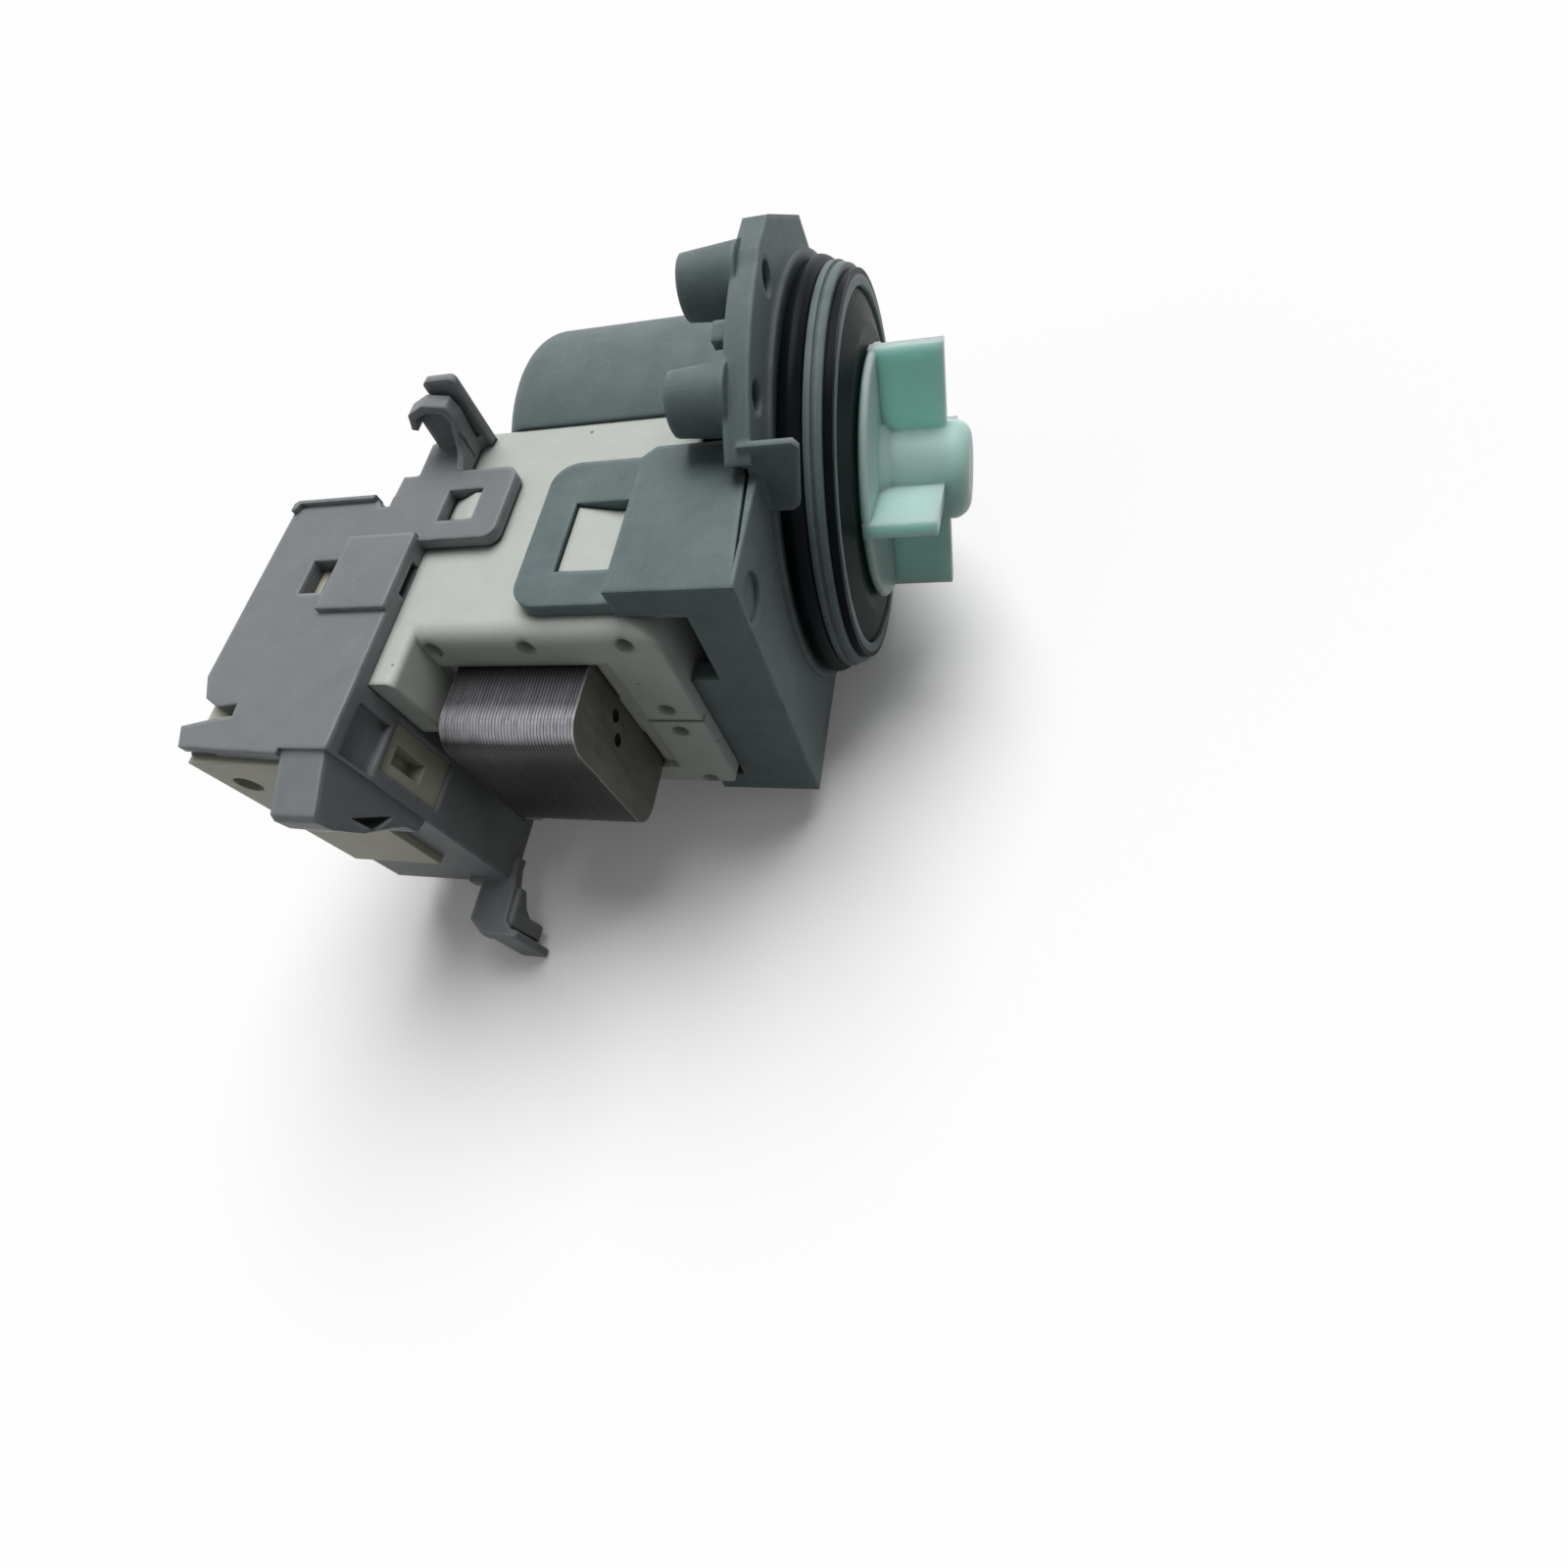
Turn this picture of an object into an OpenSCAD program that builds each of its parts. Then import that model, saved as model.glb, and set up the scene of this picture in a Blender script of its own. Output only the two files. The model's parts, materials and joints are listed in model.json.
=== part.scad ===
// Washer drain pump with a permanent-magnet motor and a four-vane impeller.
// The origin is on the pump axis, at the seating face of the flange.
// +X points to the impeller, +Y from the yoke to the rotor, +Z out of the upper coil.

/* [Flange] */
// Thickness of the flange and base plate
flange_t = 3.5; // [3:0.1:5]
// Outer radius of the screw flange
flange_r = 40; // [39:0.5:42]
// Half width of the base plate and its two clip blocks
base_half_w = 26.3; // [25.5:0.1:28]
// Distance from the pump axis to the near edge of the base plate
base_reach = 45.1; // [44:0.1:48]
// Height of the flange ear above the pump axis
ear_reach = 40.4; // [39.5:0.1:42]
// Angle where the upper flange sector ends
sector_end_angle = 134; // [130:1:138]
// Half the angle of the lower screw ear
lower_ear_half_angle = 13; // [9:1:16]

/* [Screws] */
// Radius of the circle that the screw holes lie on
screw_circle_r = 36.8; // [36:0.1:37.2]
// Diameter of the screw holes
screw_hole_d = 4; // [3.5:0.1:4.4]
// Diameter of the screw bosses
boss_d = 9.3; // [8.6:0.1:9.8]
// Length of the screw bosses behind the flange
boss_len = 7.5; // [6:0.5:12]
// Angle of the first screw
screw_angle_a = 94.5; // [92:0.5:97]
// Angle of the second screw
screw_angle_b = 121; // [118:0.5:124]
// Angle of the third screw
screw_angle_c = -40; // [-48:0.5:-32]

/* [Spigot and seals] */
// Outer radius of the main O-ring
seal_r = 32; // [31.6:0.1:32.4]
// Cord diameter of the main O-ring
oring_d = 3.6; // [3:0.1:4]
// Radius of the lip at the root of the spigot
lip_r = 33; // [32.6:0.1:33.6]
// Thickness of that lip
lip_t = 0.7; // [0.5:0.1:1.2]
// Radius of the collar in front of the main O-ring
collar_r = 31; // [30.6:0.1:31.4]
// Width of the collar
collar_w = 2.4; // [2:0.1:3]
// Outer radius of the rim ring
rim_ring_r = 29.6; // [29.4:0.1:30]
// Radial thickness of the rim ring
rim_ring_t = 0.8; // [0.6:0.05:1]
// Width of the rim ring
rim_ring_w = 1.4; // [1.2:0.1:2]

/* [Rotor and can] */
// Radius of the rotor magnet
magnet_r = 11.5; // [11:0.1:12]
// Length that the magnet stands out of the stack at each end
magnet_over = 0.25; // [0:0.05:0.4]
// Air between the magnet and the can
air_gap = 0.8; // [0.6:0.05:1]
// Wall of the rotor can
can_wall = 1; // [0.8:0.05:1.2]
// Clearance between the can and the pole shoes
pole_clear = 0.3; // [0.2:0.05:0.4]
// Diameter of the shaft
shaft_d = 5; // [4.5:0.1:5.5]
// Radial running clearance of the shaft
run_clear = 0.05; // [0.02:0.01:0.08]
// Length of each bearing bush
bearing_len = 4.5; // [4:0.1:6]
// Outer radius of each bearing bush
bearing_r = 5; // [4.6:0.1:5.2]
// Radial thickness of the rubber bearing mounts
mount_t = 2.2; // [1.8:0.1:2.4]
// Thickness of each thrust washer
washer_t = 0.8; // [0.5:0.1:1]
// End play of the rotor at each bearing
end_play = 0.3; // [0.2:0.05:0.4]

/* [Hood] */
// Outer radius of the hood
hood_r = 24.7; // [24.3:0.1:25.2]
// Wall of the hood
hood_wall = 2.2; // [1.8:0.1:2.4]
// Distance of the hood's centre line beyond the pump axis
hood_offset = 3.3; // [3:0.1:3.6]
// Wall of the hood's closed end
hood_end_wall = 1.7; // [1.4:0.1:2]
// Radius of the rounded end of the hood
hood_fillet = 4.7; // [4:0.1:6]
// Distance from the pump axis to the near edge of the hood
hood_edge = 8; // [7.5:0.1:8.5]

/* [Core] */
// Length of the lamination stack along the shaft
stack_len = 21; // [20:0.5:24]
// Distance from the back of the flange to the stack
stack_gap = 20.3; // [19.5:0.1:21]
// Thickness of each leg of the core
leg_t = 9.3; // [8.5:0.1:9.6]
// Gap between the two legs
leg_gap = 10; // [9:0.1:11]
// Thickness of the yoke
yoke_t = 13; // [11:0.5:14]
// Radius of the yoke's outer corners
yoke_corner_r = 4.5; // [2:0.5:6]
// Half width of the core across the pole shoes
shoe_half_w = 18.8; // [18.4:0.1:18.9]

/* [Coils] */
// Half height of the two coils together
coil_half_h = 21.5; // [21:0.1:22.2]
// Distance from the pump axis to the near face of the coils
coil_reach = 47.5; // [47:0.1:50]
// Width of the coil in front of the stack
coil_front_w = 11.8; // [11:0.1:12.2]
// Width of the coil behind the stack
coil_rear_w = 5.2; // [5:0.1:6]
// Distance from the pump axis to the far edge of the coil's top lip
coil_lip_edge = 8.2; // [8.1:0.1:9]
// Radial thickness of each winding
winding_t = 2.6; // [2.2:0.1:2.7]
// Wall of each bobbin
bobbin_t = 1; // [0.8:0.05:1.2]
// Depth of the rim that the yoke sits in
rim_depth = 1; // [0.6:0.1:2]
// Radius of the rounded near edge of the coils
coil_edge_r = 2.8; // [1.5:0.1:3.5]
// Radius of the coil's outer front corner
coil_corner_r = 5; // [3:0.5:6]
// Diameter of the ejector cups in the rim
cup_d = 2.6; // [2:0.1:3]

/* [Clips] */
// Thickness of the clip plates
clip_t = 2.2; // [1.8:0.1:2.4]
// Length of the clip block behind the flange face
clip_block_len = 17.2; // [16:0.1:19]
// Distance from the flange face to the end of the front clip plate
clip_plate_end = 32.3; // [30:0.1:34]
// Length of the front clip window
clip_window_len = 8; // [6:0.1:9]
// Width of the front clip window
clip_window_w = 12.2; // [9:0.1:14]
// Clearance between a snap ramp and its window
ramp_clear = 0.3; // [0.2:0.05:0.5]

/* [Terminal housing] */
// Wall of the terminal housing
shell_t = 2.2; // [1.8:0.1:2.4]
// Distance from the flange face to the open end of the terminal housing
shell_end = 76.8; // [75:0.1:79]
// Length of the terminal housing along the shaft
shell_len = 25.5; // [24.5:0.1:27]
// Distance from the pump axis to the near side of the terminal housing
shell_near = 66.3; // [65:0.1:67]
// Distance from the pump axis to the far side of the terminal housing
shell_far = 22.7; // [21.5:0.1:23.5]
// Thickness of the hook prongs
prong_t = 1.3; // [1:0.1:1.6]
// Height of the tall hook prong above the pump axis
hook_reach = 33.4; // [32.8:0.1:36]
// Width of the spade terminals
spade_w = 6.3; // [4.8:0.1:6.3]
// Thickness of the spade terminals
spade_t = 0.8; // [0.5:0.1:1]
// Length of the spade terminals outside the insert floor
spade_len = 9; // [7:0.5:10]
// Distance between the two spade terminals
spade_pitch = 26; // [25:0.5:28]

/* [Impeller] */
// Radius of the vanes
vane_r = 19.7; // [18:0.1:21]
// Thickness of the vanes
vane_t = 2.3; // [1.8:0.1:2.8]
// Length of the vanes in front of the disc
vane_len = 9.9; // [8:0.1:11]
// Number of vanes
vane_count = 4; // [3:1:6]
// Angle of the first vane at rest
vane_angle = 70.7; // [0:0.1:90]
// Radius of the impeller disc
disc_r = 19.5; // [18:0.1:21]
// Thickness of the impeller disc
disc_t = 1.3; // [1.1:0.1:2]
// Gap between the bearing carrier and the impeller disc
disc_gap = 0.5; // [0.4:0.1:1]
// Radius of the impeller hub
hub_r = 7.5; // [7.3:0.1:8.5]
// Length of the hub in front of the disc
hub_len = 13.5; // [13:0.1:16]
// Radius of the rounded nose of the hub
nose_fillet = 2.8; // [1.5:0.1:3]
// Wall of the clutch chamber in the hub
chamber_wall = 1.8; // [1.4:0.1:2]

/* [Clutch] */
// Angle that the impeller turns freely against the rotor
lag_angle = 180; // [150:5:190]
// Angle taken by the lug in the impeller hub
lug_angle = 70; // [50:1:75]
// Angle taken by each rubber buffer on that lug
buffer_angle = 12; // [8:1:14]
// Angle left free at each end of the clutch travel
stop_clear_angle = 3; // [2:0.5:4]

/* [Hidden] */

$fn = 64;

// Overshoot of a cutting tool past the face that it opens
cut = 1;
// Clearance of parts that are pressed or moulded together
seat_clear = 0.02;

// Places along the shaft
stack_front = -flange_t - stack_gap;
stack_rear = stack_front - stack_len;
coil_front = stack_front + coil_front_w;
coil_rear = stack_rear - coil_rear_w;
magnet_front = stack_front + magnet_over;
magnet_rear = stack_rear - magnet_over;
sleeve_flange_t = 0.4;
sleeve_front = magnet_front + sleeve_flange_t;
sleeve_rear = magnet_rear - sleeve_flange_t;
front_bearing_rear = sleeve_front + washer_t + end_play;
front_bearing_front = front_bearing_rear + bearing_len;
rear_bearing_front = sleeve_rear - washer_t - end_play;
rear_bearing_rear = rear_bearing_front - bearing_len;
shaft_end_gap = 0.3;
hood_end = stack_rear - hood_end_wall - 0.3;
oring_groove_w = oring_d + 0.1;
collar_rear = lip_t + oring_groove_w;
collar_front = collar_rear + collar_w;
spigot_front = collar_front + rim_ring_w;
carrier_proud = 0.8;
carrier_front = spigot_front + carrier_proud;
disc_rear = carrier_front + disc_gap;
disc_front = disc_rear + disc_t;
vane_front = disc_front + vane_len;
nose_front = disc_front + hub_len;

// Radii about the shaft
shaft_r = shaft_d / 2;
bore_r = shaft_r + run_clear;
press_r = shaft_r + seat_clear;
can_in_r = magnet_r + air_gap;
can_r = can_in_r + can_wall;
pole_bore_r = can_r + pole_clear;
mount_r = bearing_r + mount_t;
boss_wall = 1.6;
groove_r = seal_r - oring_d;
rim_r = rim_ring_r - rim_ring_t;
spigot_bore_r = rim_r - 1.5;
carrier_r = spigot_bore_r - 0.2;
chamber_r = hub_r - chamber_wall;
cover_r = chamber_r + 0.5;

// Places of the core and coils across the shaft
leg_in = leg_gap / 2;
leg_out = leg_in + leg_t;
yoke_in = coil_reach - rim_depth;
yoke_out = yoke_in + yoke_t;
coil_far = can_r + 1.2;
lip_thick = coil_half_h - leg_out - 5;
leg_clear = 0.2;
tube_rear = stack_rear - leg_clear - bobbin_t;
tube_front = stack_front + leg_clear + bobbin_t;
tube_in = leg_in - leg_clear - bobbin_t;
tube_out = leg_out + leg_clear + bobbin_t;
cavity_rear = tube_rear - winding_t;
cavity_front = tube_front + winding_t;
cavity_in = tube_in - winding_t;
cavity_out = tube_out + winding_t;
end_wall = 1.5;
bobbin_near = yoke_in - end_wall;
bobbin_far = coil_far + end_wall;
bobbin_flange_t = 1.2;

// Terminal blocks on the coils
block_front = stack_rear - 2.9;
block_rear = -56.6;
block_in = 9.2;
block_near = coil_reach + 7.7;
block_far = 26;

// Front clips
clip_top = coil_half_h + clip_t;
clip_near = base_reach - 0.4;
clip_far = 18.8;
clip_corner_r = 4;
clip_window_rear = -27;
clip_window_near = 39;

// Terminal housing
shell_rear = -shell_end;
shell_front = shell_rear + shell_len;
shell_top = coil_half_h + shell_t;
insert_near = shell_near + 1.2;
insert_rear = shell_rear + 1;
insert_floor = -61;
insert_front = -58.8;
insert_top = 21.2;
insert_bottom = -13;
tail_clip_near = 31.9;
tail_clip_far = 18.3;
tail_clip_end = -38.9;
tail_window_rear = -49.3;
tail_window_front = -43.5;
tail_window_near = 28.3;
tail_window_far = 22.3;
tongue_rear = -58.8;
tongue_front = -51.8;
// The two hooks are the same about this line parallel to the shaft
hook_centre = 43;
spade_y = -coil_reach + 1.5;
spade_z = spade_pitch / 2;
// Part of the insert that fills the window in the front wall
pad_near = shell_near - shell_t;
pad_far = block_near + 1.1;
pad_low = 1;
pad_high = 14.2;

// Clutch
chamber_rear = disc_rear + 1.7;
chamber_front = nose_front - 4.1;
lug_at = 40;
dog_angle = 360 - lag_angle - lug_angle - 2 * buffer_angle - 2 * stop_clear_angle;
dog_at = lug_at - lug_angle / 2 - buffer_angle - stop_clear_angle - dog_angle / 2;

// Solid of revolution about the shaft, its profile given as radius and X
module revolve() {
  rotate([0, 90, 0]) rotate_extrude($fn = 96) children();
}

module turned(profile) {
  revolve() polygon(profile);
}

module ring(rear, front, inner, outer) {
  turned([[inner, rear], [outer, rear], [outer, front], [inner, front]]);
}

// Outline in Y and Z, drawn out along X
module along_x(rear, front) {
  translate([rear, 0, 0]) rotate([90, 0, 90]) linear_extrude(height = front - rear) children();
}

// Outline in X and Z, drawn out along Y
module along_y(near, far) {
  translate([0, far, 0]) rotate([90, 0, 0]) linear_extrude(height = far - near) children();
}

// Outline in X and Y, drawn out along Z
module along_z(low, high) {
  translate([0, 0, low]) linear_extrude(height = high - low) children();
}

module box(low, high) {
  translate(low) cube(high - low);
}

module rect(low, high) {
  translate(low) square(high - low);
}

module round_rect(low, high, r) {
  rect([low[0] + r, low[1]], [high[0] - r, high[1]]);
  rect([low[0], low[1] + r], [high[0], high[1] - r]);
  for (x = [low[0] + r, high[0] - r], y = [low[1] + r, high[1] - r])
    translate([x, y]) circle(r = r);
}

// Pie piece between two angles about the shaft, in Y and Z
module pie(r, from, to) {
  steps = 8;
  polygon(concat([[0, 0]],
    [for (i = [0:steps]) let (a = from + (to - from) * i / steps) [r * cos(a), r * sin(a)]]));
}

// Part of a ring between two angles about the shaft
module ring_sector(rear, front, inner, outer, from, to) {
  intersection() {
    ring(rear, front, inner, outer);
    along_x(rear - cut, front + cut) pie(2 * outer, from, to);
  }
}

module at_screw(angle) {
  rotate([angle, 0, 0]) translate([0, screw_circle_r, 0]) rotate([0, 90, 0]) children();
}

// Front housing

module flange_sector() {
  along_x(-flange_t, 0) {
    intersection() {
      circle(r = flange_r, $fn = 96);
      pie(2 * flange_r, 50, sector_end_angle);
      polygon([[-flange_r, 0], [-flange_r, flange_r], [4.3, flange_r], [19.3, 31.7], [21.6, 25.1], [21.6, 0]]);
    }
    // Ear with its cut corner
    polygon([[-5, 30], [-5, ear_reach - 0.8], [-2.5, ear_reach], [4.3, ear_reach], [19.3, 31.7], [19.3, 25]]);
    intersection() {
      circle(r = flange_r, $fn = 96);
      pie(2 * flange_r, screw_angle_c - lower_ear_half_angle, screw_angle_c + lower_ear_half_angle);
    }
  }
}

module base_plate() {
  edge_r = 1.2;
  along_x(-flange_t, 0) {
    round_rect([-base_reach, -base_half_w], [-12, base_half_w], edge_r);
    circle(r = lip_r, $fn = 96);
  }
}

module screw_bosses() {
  root = 0.6;
  for (angle = [screw_angle_a, screw_angle_b, screw_angle_c])
    at_screw(angle) {
      translate([0, 0, -flange_t - boss_len]) cylinder(h = boss_len + root, d1 = boss_d - 1.2, d2 = boss_d);
    }
}

module spigot() {
  nick = 0.5;
  nick_at = collar_rear + collar_w / 2;
  turned([[spigot_bore_r, -flange_t / 2], [lip_r, -flange_t / 2], [lip_r, lip_t],
    [groove_r - seat_clear, lip_t], [groove_r - seat_clear, collar_rear],
    [collar_r, collar_rear], [collar_r, nick_at - nick / 2], [collar_r - nick, nick_at - nick / 2],
    [collar_r - nick, nick_at + nick / 2], [collar_r - 0.3, nick_at + nick / 2],
    [collar_r - 0.6, collar_front], [rim_r - seat_clear, collar_front],
    [rim_r - seat_clear, spigot_front], [spigot_bore_r, spigot_front]]);
}

module hood_profile(r, end, fillet) {
  rect([0, end], [r - fillet, -flange_t / 2]);
  rect([0, end + fillet], [r, -flange_t / 2]);
  translate([r - fillet, end + fillet]) circle(r = fillet);
}

module hood() {
  translate([0, hood_offset, 0]) intersection() {
    difference() {
      revolve() hood_profile(hood_r, hood_end, hood_fillet);
      revolve() hood_profile(hood_r - hood_wall, hood_end + hood_end_wall, hood_fillet - hood_wall);
    }
    box([hood_end - cut, -hood_edge - hood_offset, -2 * hood_r], [0, 2 * hood_r, 2 * hood_r]);
  }
}

module can_outside() {
  shoulder = rear_bearing_front - can_wall;
  ring(shoulder, -flange_t / 2, 0, can_r);
  ring(rear_bearing_rear - shaft_end_gap - boss_wall, shoulder + can_wall, 0, mount_r + boss_wall);
}

module can_inside() {
  ring(rear_bearing_front + 0.2, cut, 0, can_in_r);
  ring(rear_bearing_rear - shaft_end_gap, rear_bearing_front + cut, 0, mount_r);
  ring(-flange_t + 2.5, spigot_front + cut, 0, spigot_bore_r);
}

// One of the two arms that snap over the coils
module clip_arm() {
  chamfer = 1.8;
  difference() {
    union() {
      along_z(coil_half_h, base_half_w)
        polygon([[-clip_block_len, -base_reach], [0, -base_reach], [0, -20],
          [-clip_block_len + chamfer, -20], [-clip_block_len, -20 - chamfer]]);
      along_z(coil_half_h, clip_top) {
        round_rect([-clip_plate_end, -clip_near], [-clip_block_len + 6, -clip_far], clip_corner_r);
      }
    }
    box([clip_window_rear, -clip_window_near, coil_half_h - cut],
      [clip_window_rear + clip_window_len, clip_window_w - clip_window_near, clip_top + cut]);
  }
}

// Near wall between the two clip arms, with the slot beside the upper coil
module near_frame() {
  wall = 3;
  band = 7.6;
  slot_low = 7.1;
  slot_high = coil_half_h - 0.4;
  difference() {
    box([coil_front, -base_reach, -coil_half_h], [0, -base_reach + wall, coil_half_h]);
    box([coil_front - cut, -base_reach - cut, slot_low], [-band, -base_reach + wall + cut, slot_high]);
  }
}

// Upright tab on the base plate, just outside the main O-ring
module locking_tab() {
  tab_near = -26.7;
  tab_t = 1;
  tab_low = 19.8;
  tab_high = 30.6;
  along_y(tab_near, tab_near + tab_t)
    polygon([[-flange_t / 2, tab_low], [3.3, tab_low], [4.3, tab_low + 0.8], [6.1, tab_high - 1],
      [5.4, tab_high], [-flange_t / 2, tab_high]]);
}

// Small latch behind the flange, between the two upper bosses
module flange_latch() {
  latch_in = flange_r - 3.6;
  latch_out = flange_r - 1.8;
  middle = (screw_angle_a + screw_angle_b) / 2 + 0.4;
  along_x(-flange_t - 2.4, -flange_t + 0.5)
    intersection() {
      difference() {
        circle(r = latch_out);
        circle(r = latch_in);
      }
      pie(2 * flange_r, middle - 2.2, middle + 2.2);
    }
}

module front_housing() {
  color("#6f7b7c") difference() {
    union() {
      base_plate();
      flange_sector();
      screw_bosses();
      spigot();
      hood();
      can_outside();
      clip_arm();
      mirror([0, 0, 1]) clip_arm();
      near_frame();
      locking_tab();
      flange_latch();
    }
    can_inside();
    for (angle = [screw_angle_a, screw_angle_b, screw_angle_c])
      at_screw(angle) {
        translate([0, 0, -flange_t - boss_len - cut]) cylinder(h = flange_t + boss_len + 2 * cut, d = screw_hole_d);
      }
    // Slanting slit along the front edge of the upper block
    along_z(base_half_w - 1.5, base_half_w + cut)
      polygon([[-0.6, -42], [-1.9, -23.7], [-1.3, -23.7], [-0.5, -38]]);
    // Ejector mark on the base plate
    translate([0.3 - cut, -41.2, 19.8]) rotate([0, 90, 0]) cylinder(h = cut, d = 6.6);
  }
}

// Seals

module main_oring() {
  color("#17191b") revolve() translate([seal_r - oring_d / 2, lip_t + oring_groove_w / 2]) circle(d = oring_d);
}

module rim_ring() {
  color("#1b1d1f") ring(collar_front + seat_clear, spigot_front - 0.1, rim_r, rim_ring_r);
}

module shaft_seal() {
  rear = carrier_front - 2.8 + seat_clear;
  outer = bearing_r + 0.4 - seat_clear;
  lip = shaft_r + 0.09;
  color("#232527") turned([[lip + 0.3, rear], [outer, rear], [outer, rear + 2.6], [outer - 1, rear + 2.6],
    [outer - 1, rear + 1], [lip + 0.9, rear + 1], [lip + 0.4, rear + 2.3], [lip, rear + 2.3],
    [lip, rear + 0.6]]);
}

// Bearings

module bearing_carrier() {
  wall = 1.8;
  tube_wall = 2;
  rim_wall = 2;
  seal_seat = carrier_front - 2.8;
  locate_in = can_in_r - 0.2 - 1.6;
  seat_front = front_bearing_front + 0.2;
  color("#1e2123") turned([[shaft_r + 0.7, seal_seat - 1.2], [shaft_r + 0.7, seal_seat],
    [bearing_r + 0.4, seal_seat], [bearing_r + 0.4, carrier_front], [carrier_r - 5.1, carrier_front],
    [carrier_r, carrier_front - 1.4], [carrier_r, -flange_t + 2.5], [carrier_r - rim_wall, -flange_t + 2.5],
    [carrier_r - rim_wall, carrier_front - wall - 0.6], [can_in_r - 0.2, carrier_front - wall],
    [can_in_r - 0.2, -flange_t - 3], [locate_in, -flange_t - 3], [locate_in, carrier_front - wall],
    [mount_r + tube_wall, carrier_front - wall], [mount_r + tube_wall, front_bearing_rear],
    [mount_r, front_bearing_rear], [mount_r, seat_front], [bearing_r + 0.5, seat_front],
    [bearing_r + 0.5, seal_seat - 1.2]]);
}

module bearing_bush(rear) {
  chamfer = 0.4;
  color("#3c3d3f") turned([[bore_r, rear], [bearing_r - chamfer, rear], [bearing_r, rear + chamfer],
    [bearing_r, rear + bearing_len - chamfer], [bearing_r - chamfer, rear + bearing_len],
    [bore_r, rear + bearing_len]]);
}

module bearing_mount(rear) {
  bead = 0.5;
  inner = bearing_r + seat_clear;
  outer = mount_r - seat_clear;
  color("#202224") turned([[inner, rear], [outer, rear], [outer, rear + 1], [outer - bead, rear + 1.5],
    [outer - bead, rear + bearing_len - 1.5], [outer, rear + bearing_len - 1],
    [outer, rear + bearing_len], [inner, rear + bearing_len]]);
}

module front_bearing() {
  bearing_bush(front_bearing_rear);
}

module front_bearing_mount() {
  bearing_mount(front_bearing_rear);
}

module rear_bearing() {
  bearing_bush(rear_bearing_rear);
}

module rear_bearing_mount() {
  bearing_mount(rear_bearing_rear);
}

// Coils

module coil_side_outline() {
  rect([-coil_reach + coil_edge_r, 0], [-coil_far, coil_half_h]);
  rect([-coil_reach, 0], [-coil_far, coil_half_h - coil_edge_r]);
  translate([-coil_reach + coil_edge_r, coil_half_h - coil_edge_r]) circle(r = coil_edge_r);
  rect([-coil_far - cut, coil_half_h - lip_thick], [-coil_lip_edge, coil_half_h]);
}

module coil_end_outline() {
  rect([coil_rear, 0], [coil_front - coil_corner_r, coil_half_h]);
  rect([coil_rear, 0], [coil_front, coil_half_h - coil_corner_r]);
  translate([coil_front - coil_corner_r, coil_half_h - coil_corner_r]) circle(r = coil_corner_r);
}

// Ramp that the front clip snaps over
module front_ramp() {
  rear = clip_window_rear + ramp_clear;
  front = clip_window_rear + clip_window_len - ramp_clear;
  along_y(-clip_window_near + ramp_clear, clip_window_w - clip_window_near - ramp_clear)
    polygon([[rear, coil_half_h - cut], [rear, coil_half_h + 1.7], [front - 1.6, coil_half_h + 0.5],
      [front, coil_half_h + 0.5], [front, coil_half_h - cut]]);
}

// Ramp that the terminal housing's clip snaps over
module tail_ramp() {
  rear = tail_window_rear + ramp_clear;
  front = tail_window_front - ramp_clear;
  along_y(-tail_window_near + ramp_clear, -tail_window_far - ramp_clear)
    polygon([[rear, coil_half_h - cut], [rear, coil_half_h + 0.2], [front - 1.2, coil_half_h + 1.7],
      [front, coil_half_h + 1.7], [front, coil_half_h - cut]]);
}

module spade_slot() {
  depth = 3;
  z = spade_z;
  box([block_rear - cut, spade_y - spade_w / 2 - seat_clear, z - spade_t / 2 - seat_clear],
    [block_rear + depth + seat_clear, spade_y + spade_w / 2 + seat_clear, z + spade_t / 2 + seat_clear]);
}

module coil_outside() {
  intersection() {
    along_x(coil_rear, coil_front) coil_side_outline();
    along_y(-coil_reach, -coil_lip_edge) coil_end_outline();
  }
  along_y(-block_near, -block_far) round_rect([block_rear, block_in], [block_front, coil_half_h], 1);
  front_ramp();
  tail_ramp();
}

module rim_cups() {
  depth = 2.5;
  rim_z = (coil_half_h + leg_out) / 2 + 0.6;
  arm_x = coil_front - 4.7;
  for (place = [[stack_rear - 1.2, rim_z], [(stack_rear + arm_x) / 2 - 0.5, rim_z], [arm_x, rim_z], [arm_x, 3]])
    translate([place[0], -coil_reach + depth, place[1]]) rotate([90, 0, 0]) cylinder(h = depth + cut, d = cup_d);
}

module coil_body() {
  parting = 0.25;
  difference() {
    coil_outside();
    box([cavity_rear, -bobbin_near, cavity_in], [cavity_front, -bobbin_far, cavity_out]);
    box([stack_rear - leg_clear, -coil_reach - cut, leg_in - leg_clear],
      [stack_front + leg_clear, -coil_far + cut, leg_out + leg_clear]);
    // Recess that the yoke sits in
    box([stack_rear - 2.8, -coil_reach - cut, -cut], [stack_front + 2.8, -yoke_in, leg_out + leg_clear]);
    rim_cups();
    // Relief along the parting line of the arm
    box([stack_front + 2, -coil_reach - cut, -cut], [coil_front + cut, -coil_reach + 1, parting]);
    children();
  }
}

module fuse_shape(clear) {
  fuse_r = 1.9;
  fuse_len = 10;
  middle = (bobbin_near + bobbin_far) / 2;
  translate([cavity_front + fuse_r, -middle, (leg_in + leg_out) / 2]) rotate([90, 0, 0])
    cylinder(h = fuse_len + 2 * clear, r = fuse_r + clear, center = true);
}

module coil_body_upper() {
  color("#bcc2b8") coil_body() {
    fuse_shape(0.1);
    spade_slot();
  }
}

module coil_body_lower() {
  color("#bcc2b8") mirror([0, 0, 1]) coil_body() {
    spade_slot();
  }
}

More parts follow.
